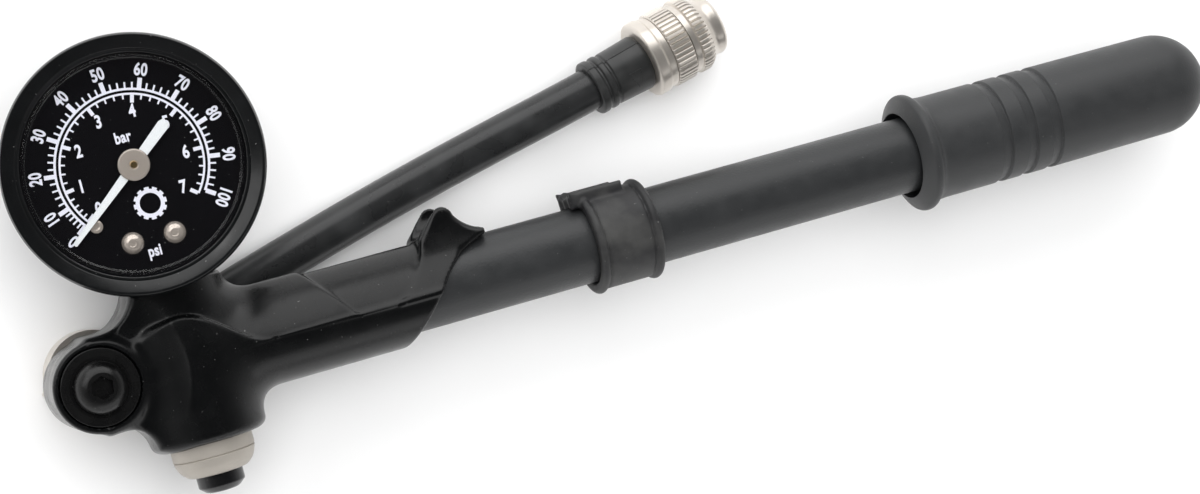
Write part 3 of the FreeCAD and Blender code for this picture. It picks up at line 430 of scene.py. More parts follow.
def outline_distance(x, y, corners):
    """Signed distance to a closed outline in a plane, negative inside."""
    nearest = np.inf
    inside = np.zeros(np.broadcast(x, y).shape, bool)
    for (ax, ay), (bx, by) in zip(corners, corners[1:] + corners[:1]):
        ex, ey = bx - ax, by - ay
        t = np.clip(((x - ax) * ex + (y - ay) * ey) / (ex * ex + ey * ey), 0, 1)
        nearest = np.minimum(nearest, (x - ax - ex * t) ** 2 + (y - ay - ey * t) ** 2)
        if ay != by:
            inside ^= ((ay > y) != (by > y)) & (x < ex * (y - ay) / ey + ax)
    return np.where(inside, -1, 1) * np.sqrt(nearest)


ARC_STEPS = 10


def arc(start, middle_point, end):
    """Points along the circle through three points, without the last."""
    (ax, ay), (bx, by), (cx, cy) = start, middle_point, end
    d = 2 * (ax * (by - cy) + bx * (cy - ay) + cx * (ay - by))
    squares = [ax * ax + ay * ay, bx * bx + by * by, cx * cx + cy * cy]
    ux = (squares[0] * (by - cy) + squares[1] * (cy - ay) + squares[2] * (ay - by)) / d
    uy = (squares[0] * (cx - bx) + squares[1] * (ax - cx) + squares[2] * (bx - ax)) / d
    radius = math.hypot(ax - ux, ay - uy)
    turns = [math.atan2(y - uy, x - ux) for x, y in (start, middle_point, end)]
    sweep = (turns[2] - turns[0]) % (2 * math.pi)
    if (turns[1] - turns[0]) % (2 * math.pi) > sweep:
        sweep -= 2 * math.pi
    angles = [turns[0] + sweep * k / ARC_STEPS for k in range(ARC_STEPS)]
    return [(ux + radius * math.cos(a), uy + radius * math.sin(a)) for a in angles]


def solid_mesh(name, distance, low, high, step, place):
    """Quad mesh of the surface where a distance is zero: one point for each grid cell it crosses."""
    axes = [np.arange(low[k], high[k] + step, step) for k in range(3)]
    grid = np.broadcast_to(
        distance(axes[0][:, None, None], axes[1][None, :, None], axes[2][None, None, :]),
        tuple(len(axis) for axis in axes),
    )
    inside = grid < 0
    shifts = [(a, b, c) for a in (0, 1) for b in (0, 1) for c in (0, 1)]
    cut = [slice(None, -1), slice(1, None)]
    filled = sum(inside[cut[a], cut[b], cut[c]].astype(np.int8) for a, b, c in shifts)
    cells = np.argwhere((filled > 0) & (filled < 8))
    index = np.full(filled.shape, -1)
    index[tuple(cells.T)] = np.arange(len(cells))
    values = {s: grid[tuple((cells + s).T)] for s in shifts}
    total = np.zeros((len(cells), 3))
    count = np.zeros(len(cells))
    for start in shifts:
        for axis in range(3):
            if start[axis]:
                continue
            end = tuple(1 if k == axis else start[k] for k in range(3))
            crossed = (values[start] < 0) != (values[end] < 0)
            t = values[start][crossed] / (values[start][crossed] - values[end][crossed])
            spot = np.tile(np.array(start, float), (crossed.sum(), 1))
            spot[:, axis] = t
            total[crossed] += spot
            count[crossed] += 1
    points = (cells + total / count[:, None]) * step + np.array([axis[0] for axis in axes])
    faces = []
    for axis in range(3):
        first, second = [k for k in range(3) if k != axis]
        near = [slice(None)] * 3
        far = [slice(None)] * 3
        near[axis], far[axis] = slice(None, -1), slice(1, None)
        for outward in (True, False):
            a, b = inside[tuple(near)], inside[tuple(far)]
            edges = np.argwhere(a & ~b if outward else b & ~a)
            ring = []
            for i, j in ((0, 0), (-1, 0), (-1, -1), (0, -1)):
                cell = edges.copy()
                cell[:, first] += i
                cell[:, second] += j
                ring.append(index[tuple(cell.T)])
            quads = np.stack(ring, 1)
            faces.append(quads if outward == (axis != 1) else quads[:, ::-1])
    points = settled(points, distance, step)
    return new_mesh(name, points, np.concatenate(faces), place)


SLOPE_SPAN = 0.02  # how far to each side a slope is measured
LEAST_STEEPNESS = 0.25
SETTLING_ROUNDS = 3


def settled(points, distance, step):
    """Moves points onto the surface along its slope."""
    span = SLOPE_SPAN
    for _ in range(SETTLING_ROUNDS):
        x, y, z = points.T
        here = distance(x, y, z)
        slope = np.stack([
            distance(x + span, y, z) - distance(x - span, y, z),
            distance(x, y + span, z) - distance(x, y - span, z),
            distance(x, y, z + span) - distance(x, y, z - span),
        ], 1) / (2 * span)
        steepness = np.maximum((slope ** 2).sum(1), LEAST_STEEPNESS)
        move = slope * (here / steepness)[:, None]
        furthest = step / 2
        points = points - np.clip(move, -furthest, furthest)
    return points


# Head

COLUMN_X = 0.4
COLUMN_RADIUS = 11.2
COLUMN_BOTTOM = -16.9
COLUMN_TOP = 10.5
COLUMN_EDGE = 1.9
NECK_X = 0.6
NECK_RADIUS = 9.3
NECK_BOTTOM = -8.0
NECK_TOP = 14.8
NECK_EDGE = 0.4
SLEEVE_RADIUS = 10.2
CREASE_Y = -0.7
LUG_RADIUS = 9.0
LUG_BACK = -11.2
LUG_FRONT = 8.0
LUG_EDGE = 0.9
WEB_FRONT = 6.8
WEB_EDGE = 1.2
WASHER_RECESS = 7.9
CAP_SEAT = 6.6
CAP_SEAT_TOP = -12.0
STEM_SEAT = 7.0
STEM_SEAT_BOTTOM = 13.8
SLEEVE_START = 38.0  # where the barrel's seat begins
HOSE_REST_Y = 14.7
HOSE_REST_RADIUS = 4.6
HOSE_REST_START = 44.0
HORN_HALF = 5.6  # half the width of the horn at its tip
HORN_TOP = 15.0
HORN_FLARE = 0.0187  # how quickly the horn widens below its tip
HORN_MOST = 4.4  # the most that it widens, to meet the sleeve

# The crest's hump over the column
HUMP_X = -1.5
HUMP_RISE = 9.0
HUMP_LENGTH = 17.0
HUMP_FALL = 0.06
HUMP_SHAPE = 0.85

# Upper half of the sleeve: reach, drop, radius and ridge of each flattened band
UPPER_BAND = (5.08, 5.35, 15.92, 0.8)
SHOULDER_BAND = (6.2, 9.1, 20.5, 3.0)
SLANT_FOOT = (24.2, 11.6)  # where the shoulder ends on the slant
SLANT = (0.821, 0.571)

# Widths over which the forms flow together
COLUMN_FLOW = 5.0
SHOULDER_FLOW = 6.0
LUG_FLOW = 3.0
WEB_FLOW = 3.4
HORN_FLOW = 1.2
CREASE_FLOW = 0.5
CREASE_SOFTENS = (16.0, 25.0, 0.03)  # where the crease starts to soften, over how far, and how quickly

LIP_UPPER = arc((63.2, 9.2), (59.7, 11.0), (57.8, 13.2)) + arc((57.8, 13.2), (56.0, 15.4), (53.6, 14.6))
MOUTH = (
    arc((41.8, -11.0), (47.6, -4.6), (52.4, 1.6))
    + arc((52.4, 1.6), (57.0, 5.9), (63.2, 8.2))
    + [(63.2, 8.2)] + LIP_UPPER
    + [(53.6, 14.6), (48.6, 9.6), (46.0, 12.0), (30.0, 20.0), (-40.0, 20.0), (-40.0, -20.0), (41.8, -20.0)]
)
HORN = LIP_UPPER + [
    (53.6, 14.6), (49.6, 10.0), (48.2, 6.0), (46.0, 2.6), (42.4, -0.4), (40.0, -5.0), (46.6, -5.0),
    (50.3, -0.9), (52.4, 1.6), (57.2, 5.9), (63.2, 8.2),
]
WEB = (
    arc((-18.7, 8.2), (-12.8, 9.6), (-8.6, 14.6))
    + [(-8.6, 14.6), (0.0, 14.6), (0.0, -15.2)]
    + arc((-10.4, -15.6), (-13.0, -11.3), (-18.7, -9.8))
    + [(-18.7, -9.8)]
)


def crest(x):
    """Height of the line where the bulging front stands proud of what is above it."""
    hump = 0.5 * (1 + np.cos(np.pi * np.clip((x - HUMP_X) / HUMP_LENGTH, 0, 1)))
    left_side = HUMP_RISE - HUMP_FALL * (x - HUMP_X) ** 2
    return CREASE_Y + np.where(x < HUMP_X, left_side, HUMP_RISE * hump ** HUMP_SHAPE)


def flattened(y, z, reach, drop, radius, ridge):
    """Upper half of a band round the barrel: two flat curves that meet in a soft ridge on top."""
    return np.hypot(y + reach, np.sqrt(z * z + ridge * ridge) + drop) - radius


def bulge_distance(x, y, z):
    """The column's front and the sleeve's lower half, up to the crest."""
    column = can(np.hypot(x - COLUMN_X, z), y, COLUMN_RADIUS, COLUMN_BOTTOM, COLUMN_TOP, COLUMN_EDGE)
    sleeve = np.maximum(np.hypot(y, z) - SLEEVE_RADIUS, -x)
    return trim(blend(column, sleeve, COLUMN_FLOW), (y - crest(x)) * 0.85, 0.7)


def above_distance(x, y, z):
    """The neck, the shoulder with its slanted end, and the sleeve's upper half."""
    neck = can(np.hypot(x - NECK_X, z), y, NECK_RADIUS, NECK_BOTTOM, NECK_TOP, NECK_EDGE)
    upper = np.maximum(flattened(y, z, *UPPER_BAND), -x)
    slant = (x - SLANT_FOOT[0]) * SLANT[0] + (y - SLANT_FOOT[1]) * SLANT[1]
    shoulder = trim(np.maximum(flattened(y, z, *SHOULDER_BAND), -x), slant, 0.5)
    return np.maximum(blend(blend(neck, shoulder, SHOULDER_FLOW), upper, 0.6), CREASE_Y - y)


def horn_distance(x, y, z):
    """The horn, which widens downward until it meets the sleeve."""
    widening = np.minimum(HORN_FLARE * (HORN_TOP - y) ** 2, HORN_MOST)
    across = np.maximum(np.abs(z) - widening, 0)
    horn = plate(outline_distance(x, y, HORN), across, -HORN_HALF, HORN_HALF, 1.0)
    return np.maximum(horn * 0.9, CREASE_Y - y)


def head_distance(x, y, z):
    """The whole head casting."""
    soft_from, soft_over, softening = CREASE_SOFTENS
    crease = CREASE_FLOW + softening * np.clip(x - soft_from, 0, soft_over)
    body = blend(bulge_distance(x, y, z), above_distance(x, y, z), crease)
    web = plate(outline_distance(x, y, WEB), z, LUG_BACK, WEB_FRONT, WEB_EDGE)
    round_pivot = np.hypot(x - PIVOT_LOCAL.x, y - PIVOT_LOCAL.y)
    lug = can(round_pivot, z, LUG_RADIUS, LUG_BACK, LUG_FRONT, LUG_EDGE)
    body = blend(body, blend(web, lug, LUG_FLOW), WEB_FLOW)
    body = trim(body, outline_distance(x, y, MOUTH), 0.45)
    body = blend(body, horn_distance(x, y, z), HORN_FLOW)
    rest = HOSE_REST_RADIUS - np.hypot(y - HOSE_REST_Y, z)
    body = trim(body, np.minimum(rest, x - HOSE_REST_START), 0.5)
    return trim(body, hollows(x, y, z), 0.25)


def hollows(x, y, z):
    """Distance to what is bored out of the head, negative outside the bores."""
    barrel = np.minimum(BARREL_RADIUS - np.hypot(y, z), x - SLEEVE_START)
    round_pivot = np.hypot(x - PIVOT_LOCAL.x, y - PIVOT_LOCAL.y)
    recess = np.minimum(WASHER_RECESS - round_pivot, z - WEB_FRONT)
    round_column = np.hypot(x, z)
    cap_seat = np.minimum(CAP_SEAT - round_column, CAP_SEAT_TOP - y)
    stem_seat = np.minimum(STEM_SEAT - round_column, y - STEM_SEAT_BOTTOM)
    return np.maximum(np.maximum(barrel, recess), np.maximum(cap_seat, stem_seat))


HEAD_LOW = (-29, -18, -13.4)
HEAD_HIGH = (65, 17, 13.6)
HEAD_STEP = 0.4
MOULDED_SHARP = 40


def make_head():
    """Die-cast head in one smooth skin."""
    mesh = solid_mesh("head_skin", head_distance, HEAD_LOW, HEAD_HIGH, HEAD_STEP, PUMP)
    add_piece("head_skin", mesh, "casting_black", "head", "head_casting", sharp=MOULDED_SHARP)


make_head()


# Barrel and plunger

BARREL_WALL = 1.25
HANDLE_BORE = 9.2
HANDLE_RADIUS = 11.1
HANDLE_DOME = 11.0
HANDLE_END_WALL = 7.4
DOME_STEPS = 24
GROOVES = 3
FIRST_GROOVE = 21.4  # from the handle's rim to the first groove's step
GROOVE_PITCH = 6.1


def make_barrel():
    """Anodised barrel with a small chamfer at its far end."""
    start = (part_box("barrel_tube")[0].x - CENTRE.x) / MM
    end = start + size("barrel_tube").x
    inner = BARREL_RADIUS - BARREL_WALL
    corners = [(start, inner), (start, BARREL_RADIUS), (end, BARREL_RADIUS, 0.4), (end, inner, 0.2)]
    turned_piece("barrel_skin", corners, PUMP, "barrel_black", "head", "barrel_tube")


def make_handle():
    """Handle with a thin flared rim, three saw-tooth grooves and a domed end."""
    low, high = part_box("handle")
    start = (low.x - CENTRE.x) / MM + 1.9
    end = (high.x - CENTRE.x) / MM - 0.5
    corners = [
        (start + 6.0, HANDLE_BORE), (start, HANDLE_BORE, 0.3), (start + 2.0, 12.75, 0.7),
        (start + 3.3, 12.65, 0.5), (start + 4.6, 11.3, 1.6), (start + 7.6, HANDLE_RADIUS, 1.0),
    ]
    for k in range(GROOVES):
        step = start + FIRST_GROOVE + GROOVE_PITCH * k
        corners += [
            (step - 2.5, HANDLE_RADIUS), (step - 2.35, HANDLE_RADIUS - 0.16),
            (step - 0.3, HANDLE_RADIUS - 0.55, 0.1), (step, HANDLE_RADIUS, 0.12),
        ]
    corners.append((end - HANDLE_DOME, HANDLE_DOME))
    for k in range(1, DOME_STEPS + 1):
        turn = math.pi / 2 * k / DOME_STEPS
        corners.append((end - HANDLE_DOME + HANDLE_DOME * math.sin(turn), HANDLE_DOME * math.cos(turn)))
    corners += [(end - HANDLE_END_WALL, 0.0), (end - HANDLE_END_WALL, HANDLE_BORE)]
    turned_piece("handle_skin", corners, PUMP, "handle_black", "plunger", "handle", sharp=CRISP)


CLIP_RADIUS = 9.95
CLIP_EDGE = 0.5
CLIP_BEAD = 0.85
BEAD_RING = 9.75  # radius of the circle along the middle of a bead
GROOVE_IN = 2.0  # from the clip's end to the fine groove behind its bead
GROOVE_RADIUS = 0.24
CLIP_FLARE = 0.55
FLARE_LENGTH = 1.6
CLIP_SLACK = 0.06  # gap between the clip and the barrel
CRADLE_MIDDLE = 3.9  # from the clip's end
CRADLE_HALF = 5.75
CRADLE_Y = 9.4
CRADLE_HEIGHT = 1.7
CRADLE_WIDTH = 5.0
CRADLE_EDGE = 0.7
CRADLE_TORN = 0.28  # depth of the tears at its end
TEAR_LENGTH = 3.0
CLIP_LOW = (80.2, -11.5, -11.5)
CLIP_HIGH = (100, 12.5, 11.5)
CLIP_STEP = 0.3


def torn_end(x, y, z, start):
    """Ragged depth of the cradle's torn end."""
    ragged = np.sin(2.3 * x + 1.1 * y) * np.sin(1.9 * z + 0.7 * x)
    return CRADLE_TORN * ragged * np.clip((start + 2 - x) / TEAR_LENGTH, 0, 1)


def clip_distance(x, y, z):
    """Rubber band with a bead at each end, flared where it was stretched on, and the torn cradle on it."""
    start, end = CLIP_ENDS
    around = np.hypot(y, z)
    body = can(around, x, CLIP_RADIUS, start, end, CLIP_EDGE)
    for place, inward in ((start, 1), (end, -1)):
        bead = np.hypot(around - BEAD_RING, x - place - inward * CLIP_BEAD) - CLIP_BEAD
        body = blend(body, bead, 0.25)
        groove = GROOVE_RADIUS - np.hypot(around - CLIP_RADIUS - 0.05, x - place - inward * GROOVE_IN)
        body = trim(body, groove, 0.15)
    cradle_x = np.abs(x - (start + CRADLE_MIDDLE)) - CRADLE_HALF
    cradle_y = np.abs(y - CRADLE_Y) - CRADLE_HEIGHT
    flat = np.maximum(cradle_x, cradle_y) + torn_end(x, y, z, start)
    cradle = plate(flat, z, -CRADLE_WIDTH, CRADLE_WIDTH, CRADLE_EDGE)
    cradle = trim(cradle, HOSE_REST_RADIUS - np.hypot(y - HOSE_REST_Y, z), 0.4)
    body = blend(body, cradle, 0.6)
    mouth = np.clip((start + FLARE_LENGTH - x) / FLARE_LENGTH, 0, 1) ** 2 * (x > start - 0.01)
    return trim(body, BARREL_RADIUS + CLIP_SLACK + CLIP_FLARE * mouth - around, 0.15)


def make_clip():
    """Rubber clip for the stowed hose."""
    mesh = solid_mesh("clip_skin", clip_distance, CLIP_LOW, CLIP_HIGH, CLIP_STEP, PUMP)
    add_piece("clip_skin", mesh, "clip_rubber", "clip", "hose_clip", sharp=MOULDED_SHARP)


CLIP_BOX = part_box("hose_clip")
CLIP_ENDS = ((CLIP_BOX[0].x - CENTRE.x) / MM + 2.2, (CLIP_BOX[1].x - CENTRE.x) / MM)
make_barrel()
make_handle()
make_clip()


# Bleed valve

CAP_INSIDE = 3.0  # length of the cap that the column hides
BUTTON_RADIUS = 4.66
BUTTON_TOP = 17.6
BUTTON_END = 27.1


def make_bleed_valve():
    """Turned cap with a fine seam and a rounded lower ring, and the glossy button under it."""
    top = -COLUMN_BOTTOM - CAP_INSIDE
    corners = [
        (top, 6.0), (top, 8.1), (19.55, 8.2), (19.7, 7.95), (19.85, 8.15, 0.2), (21.9, 7.5, 1.6),
        (23.4, 5.9, 0.9), (23.4, 4.75, 0.15), (20.0, 4.75),
    ]
    turned_piece("bleed_cap_skin", corners, DOWN, "cap_metal", "head", "bleed_cap")
    corners = [
        (BUTTON_TOP, 0.0), (BUTTON_TOP, BUTTON_RADIUS), (25.8, BUTTON_RADIUS, 0.25),
        (BUTTON_END, 3.2, 0.7), (BUTTON_END, 0.0),
    ]
    turned_piece("bleed_button_skin", corners, DOWN, "button_black", "button", "bleed_button", closed=False)


make_bleed_valve()


# Swivel bolt

WASHER_LOW = 7.1
WASHER_HIGH = 8.3
WASHER_STEP = 8.2  # height of its sunken middle
WASHER_RADIUS = 7.6
WASHER_HOLE = 3.1


def make_bolt_washer():
    """Wide black washer with a rounded edge and a sunken middle."""
    corners = [
        (WASHER_LOW, WASHER_HOLE), (WASHER_LOW, WASHER_RADIUS), (WASHER_HIGH, WASHER_RADIUS, 0.25),
        (WASHER_HIGH, 5.9, 0.1), (WASHER_STEP, 5.7), (WASHER_STEP, WASHER_HOLE),
    ]
    turned_piece("washer_skin", corners, LUG, "bolt_black", "hose_end", "bolt_washer")


make_bolt_washer()


# Hose and chuck

def make_hose():
    """Rubber hose, a spline through its route."""
    curve = bpy.data.curves.new("hose_skin", "CURVE")
    curve.dimensions = "3D"
    curve.bevel_depth = HOSE_DIAMETER / 2 * MM
    curve.bevel_resolution = 12
    curve.resolution_u = 24
    curve.use_fill_caps = True
    spline = curve.splines.new("NURBS")
    spline.points.add(len(HOSE_ROUTE) - 1)
    for point, place in zip(spline.points, HOSE_ROUTE):
        point.co = (*(PUMP @ Vector(place)), 1.0)
    spline.order_u = 3
    spline.use_endpoint_u = True
    curve.materials.append(MATERIALS["hose_rubber"])
    piece = put("hose_skin", curve)
    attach(piece, "hose_end")
    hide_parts("hose")
    return piece


SEAM_TURN = 318  # degrees round the ferrule
SEAM_HALF = 0.9
SEAM_DEPTH = 0.13
SEAM_REACH = 5  # the radius down to which the seam shows
WEDGE_FROM, WEDGE_TO = 8, 48  # degrees round the ferrule
WEDGE_ALONG = -4.2
WEDGE_HALF = 1.5
WEDGE_RISE = 0.16
RIB_RADIUS = 5.9
DARK_GROOVE = 5.35
RIBS = ((-12.7, -11.3, -10.9, -10.5), (-10.2, -9.2, -8.9, -8.5))  # each rib, then the groove after it
FERRULE_BORE = 4.4
TAPER_START = (-7.9, 5.76)
TAPER_STEP = (0.2, 0.0075)
TAPER_STEPS = 36


def ferrule_marks(along, radius, turn):
    """Seam line down the ferrule and a raised wedge that points across it."""
    around = math.degrees(turn)
    seam = SEAM_DEPTH if abs(around - SEAM_TURN) < SEAM_HALF and radius > SEAM_REACH else 0.0
    narrowed = (WEDGE_TO - around) / (WEDGE_TO - WEDGE_FROM) * WEDGE_HALF
    in_wedge = WEDGE_FROM < around < WEDGE_TO and abs(along - WEDGE_ALONG) < narrowed
    return (WEDGE_RISE if in_wedge else 0.0) - seam


def make_ferrule():
    """Moulded sleeve on the hose's end, with two ribs and dark grooves between them."""
    corners = [(-13.0, FERRULE_BORE), (-13.0, 5.5, 0.4)]
    for rib_start, rib_end, groove_start, groove_end in RIBS:
        corners += [
            (rib_start, RIB_RADIUS, 0.4), (rib_end, RIB_RADIUS, 0.4),
            (groove_start, DARK_GROOVE, 0.15), (groove_end, DARK_GROOVE, 0.15),
        ]
    corners.append((-8.2, 5.75, 0.3))
    for k in range(TAPER_STEPS):
        corners.append((TAPER_START[0] + TAPER_STEP[0] * k, TAPER_START[1] + TAPER_STEP[1] * k))
    corners += [(-0.6, 6.04, 0.5), (0.0, 5.8), (0.0, FERRULE_BORE)]
    return turned_piece(
        "ferrule_skin", corners, CHUCK, "ferrule_black", "hose_end", "hose_ferrule", segments=480,
        knurl=ferrule_marks,
    )


CHUCK_RADIUS = 8.4
CHUCK_BORE = 5.3
CHUCK_FRONT = 18.4
KNURL_TEETH = 48
KNURL_SEGMENTS = KNURL_TEETH * 12
KNURL_DEPTH = 0.38
KNURL_FADE = 0.15  # length over which the knurl starts and stops
GROOVE_SHARE = 0.22  # half of a groove's width, as a share of a tooth's
KNURLED_FROM = 7.0  # the least radius of a run that a knurl can be on
LONGEST_RUN = 1.5


def straight_knurl(low, high):
    """Straight knurl between two places along a piece: round crests and narrow grooves."""
    def reach(along, radius, turn):
        started = min(max((along - low) / KNURL_FADE, 0), 1)
        not_over = min(max((high - along) / KNURL_FADE, 0), 1)
        phase = (turn * KNURL_TEETH / (2 * math.pi)) % 1.0
        groove = max(0.0, 1 - abs(phase - 0.5) / GROOVE_SHARE)
        return -KNURL_DEPTH * groove * (started * not_over)
    return reach


def finely(corners):
    """Outline with its long straight runs divided, so that a knurl starts and stops sharply."""
    dense = [corners[0]]
    for before, after in zip(corners, corners[1:]):
        far = abs(after[0] - before[0]) > LONGEST_RUN
        if far and before[1] > KNURLED_FROM and after[1] > KNURLED_FROM:
            dense.append(((before[0] + after[0]) / 2, (before[1] + after[1]) / 2))
        dense.append(after)
    return dense


def make_knurled(name, corners, low, high, body, node):
    """Turned piece of the chuck, knurled between two places along it."""
    return turned_piece(
        name, finely(corners), CHUCK, "chuck_nickel", body, node, segments=KNURL_SEGMENTS,
        knurl=straight_knurl(low, high),
    )


def make_chuck():
    """Nickel-plated chuck: rear flange, knurled drive ring, knurled collar and nose."""
    corners = [
        (0.0, 1.6), (0.0, 7.6, 0.4), (0.3, CHUCK_RADIUS, 0.5), (2.5, CHUCK_RADIUS, 0.5),
        (2.9, 7.9, 0.2), (3.3, 8.0, 0.2), (4.4, 8.0, 0.15), (4.4, 5.2), (10.6, 5.2), (10.6, 1.6),
    ]
    flange = turned_piece("chuck_flange", corners, CHUCK, "chuck_nickel", "hose_end", "chuck_body")
    corners = [
        (4.5, CHUCK_BORE), (4.5, 8.0, 0.1), (4.8, CHUCK_RADIUS, 0.2), (8.9, CHUCK_RADIUS, 0.2),
        (9.3, 7.9, 0.2), (9.3, CHUCK_BORE),
    ]
    ring = make_knurled("chuck_drive_ring", corners, 4.6, 9.2, "drive_ring", "chuck_ring")
    corners = [
        (9.5, CHUCK_BORE), (9.5, 7.7), (10.8, 7.7, 0.2), (11.0, CHUCK_RADIUS, 0.25),
        (12.9, CHUCK_RADIUS, 0.4), (13.9, 7.8, 0.6), (15.3, 6.45, 2.0), (17.5, 6.75, 1.4),
        (CHUCK_FRONT, 5.7, 0.7), (CHUCK_FRONT, 3.9, 0.3), (12.0, 3.9), (12.0, 4.4), (10.9, 4.4),
        (10.9, CHUCK_BORE),
    ]
    nose = make_knurled("chuck_nose", corners, 10.9, 13.9, "collar", "chuck_collar")
    return [flange, ring, nose]


hose = make_hose()
ferrule = make_ferrule()
chuck_pieces = make_chuck()


# Gauge, in its own frame: the dial in the XY plane

BEZEL_RADIUS = 25.1
CASE_RADIUS = 23.6
CASE_WALL = 0.8
CASE_BACK = -8.0
CASE_FRONT = 10.8
SEAT_RADIUS = 22.6  # the window's seat in the bezel
DIAL_TOP = 11.5
LENS_BACK = 14.2
LENS_FRONT = 15.4
FINE_ROUND = 256
ZERO_TURN = 218.0  # the zero mark, in degrees round from +X
NEEDLE_REST = 1.4  # degrees by which the needle rests below its zero mark
FIRST_TEN = 18.0  # degrees to the mark for 10
EACH_TEN = 26.0  # degrees between the marks after it
FULL_PRESSURE = 100
PSI_PER_BAR = 14.504
PRINT_LIFT = 0.02
PRINT_SHIFT = (-0.35, 0.05)  # the print sits a little off centre
PRINT = DIAL @ Matrix.Translation((*PRINT_SHIFT, DIAL_TOP + PRINT_LIFT))
BAR_SCALE_END = 7
MARKS_PER_BAR = 5
PSI_PER_MARK = 2
PSI_ARC = (14.3, 14.75)  # inner and outer radius of each printed arc
BAR_ARC = (13.4, 13.8)
PSI_MARKS_IN = 14.7
PSI_MARKS_OUT = (16.7, 15.85)  # of the major marks and of the minor ones
PSI_MARK_WIDTHS = (0.85, 0.34)
BAR_MARKS_IN = (11.9, 12.6)
BAR_MARKS_OUT = 13.45
BAR_MARK_WIDTHS = (0.72, 0.32)


def make_case():
    """Pressed case, bezel and window."""
    corners = [
        (CASE_BACK, 0.0), (CASE_BACK, CASE_RADIUS, 1.5), (CASE_FRONT, CASE_RADIUS),
        (CASE_FRONT, CASE_RADIUS - CASE_WALL), (CASE_BACK + CASE_WALL, CASE_RADIUS - CASE_WALL, 1.0),
        (CASE_BACK + CASE_WALL, 0.0),
    ]
    turned_piece("gauge_case_skin", corners, GAUGE, "case_black", "head", "gauge_case", closed=False)
    corners = [
        (9.7, CASE_RADIUS), (9.7, BEZEL_RADIUS, 0.4), (15.6, BEZEL_RADIUS, 0.5), (16.5, 24.65, 0.35),
        (16.45, 24.3, 0.2), (15.75, 22.1, 0.15), (15.6, 22.0, 0.05), (15.5, 21.95, 0.05),
        (15.62, 21.85, 0.05), (15.6, 21.45, 0.15), (15.41, 21.3), (15.41, SEAT_RADIUS),
        (CASE_FRONT, SEAT_RADIUS), (CASE_FRONT, CASE_RADIUS),
    ]
    turned_piece(
        "gauge_bezel_skin", corners, GAUGE, "bezel_black", "head", "gauge_bezel", sharp=CRISP,
        segments=FINE_ROUND,
    )
    corners = [
        (DIAL_TOP + 0.1, 21.9), (DIAL_TOP + 0.1, SEAT_RADIUS), (LENS_FRONT, SEAT_RADIUS),
        (LENS_FRONT, 20.9, 0.1), (LENS_FRONT + 0.25, 20.7, 0.15), (LENS_FRONT + 0.25, 20.45, 0.15),
        (LENS_FRONT - 0.1, 20.1, 0.3), (LENS_FRONT - 0.1, 0.0), (LENS_BACK, 0.0),
        (LENS_BACK, 21.2, 0.5), (13.8, 21.9, 0.2),
    ]
    turned_piece(
        "gauge_lens_skin", corners, GAUGE, "lens_clear", "head", "gauge_lens", segments=FINE_ROUND,
    )


def dial_turn(pressure):
    """Angle of a pressure on the dial, in radians."""
    share = min(pressure, 10) / 10 * FIRST_TEN + max(pressure - 10, 0) / 10 * EACH_TEN
    return math.radians(ZERO_TURN - share)


def on_dial(turn, radius):
    """Point on the dial."""
    return (radius * math.cos(turn), radius * math.sin(turn))


def tick(turn, inner, outer, width):
    """One printed mark, pointing at the middle."""
    x, y = math.cos(turn), math.sin(turn)
    half = width / 2
    sides = ((inner, half), (outer, half), (outer, -half), (inner, -half))
    return [(along * x + side * y, along * y - side * x) for along, side in sides]


def band(start, end, inner, outer, steps=96):
    """Printed band between two angles, as four-cornered patches."""
    turns = [start + (end - start) * k / steps for k in range(steps + 1)]
    return [
        [on_dial(a, inner), on_dial(a, outer), on_dial(b, outer), on_dial(b, inner)]
        for a, b in zip(turns, turns[1:])
    ]


def make_dial_face():
    """Painted dial with a turned-up rim."""
    corners = [
        (DIAL_TOP - 0.5, 0.0), (DIAL_TOP - 0.5, 21.8), (DIAL_TOP + 0.05, 21.8, 0.05),
        (DIAL_TOP + 0.05, 21.5, 0.05), (DIAL_TOP, 21.4, 0.05), (DIAL_TOP, 0.0),
    ]
    turned_piece(
        "dial_face", corners, GAUGE, "dial_black", "head", "dial_plate", closed=False, segments=FINE_ROUND,
    )


def print_patches(name, patches):
    """White print on the dial, made of four-cornered patches."""
    points = [(x, y, 0.0) for patch in patches for x, y in patch]
    faces = [range(4 * k, 4 * k + 4) for k in range(len(patches))]
    add_piece(name, new_mesh(name, points, faces, PRINT), "ink_white", "head")


def make_scales():
    """Printed arcs and marks of both scales."""
    patches = band(dial_turn(0), dial_turn(FULL_PRESSURE), *PSI_ARC)
    patches += band(dial_turn(0), dial_turn(BAR_SCALE_END * PSI_PER_BAR), *BAR_ARC)
    for pressure in range(0, FULL_PRESSURE + 1, PSI_PER_MARK):
        minor = 1 if pressure % 10 else 0
        turn = dial_turn(pressure)
        patches.append(tick(turn, PSI_MARKS_IN, PSI_MARKS_OUT[minor], PSI_MARK_WIDTHS[minor]))
    for mark in range(BAR_SCALE_END * MARKS_PER_BAR + 1):
        minor = 1 if mark % MARKS_PER_BAR else 0
        turn = dial_turn(mark / MARKS_PER_BAR * PSI_PER_BAR)
        patches.append(tick(turn, BAR_MARKS_IN[minor], BAR_MARKS_OUT, BAR_MARK_WIDTHS[minor]))
    print_patches("dial_scales", patches)


EM_PER_HEIGHT = 1.32  # type size for digits of a given height
BOLDNESS = 0.042
LETTER_SPACE = 1.06
NARROWING = (0.78, 1.04, 1, 1)
PSI_DIGITS = (18.35, 2.4)  # radius of the ring of numbers, and their height
BAR_DIGITS = (10.4, 2.5)
UNIT_HEIGHT = 2.2
BAR_UNIT_AT = (-0.4, 5.6)
PSI_UNIT_AT = (-0.1, -17.2)
TYRE_AT = (1.4, -7.9)
TYRE_BLOCKS = 12
TYRE_RINGS = ((2.0, 2.75, 1.0), (2.75, 3.15, 0.6))  # inner and outer radius, and the share filled


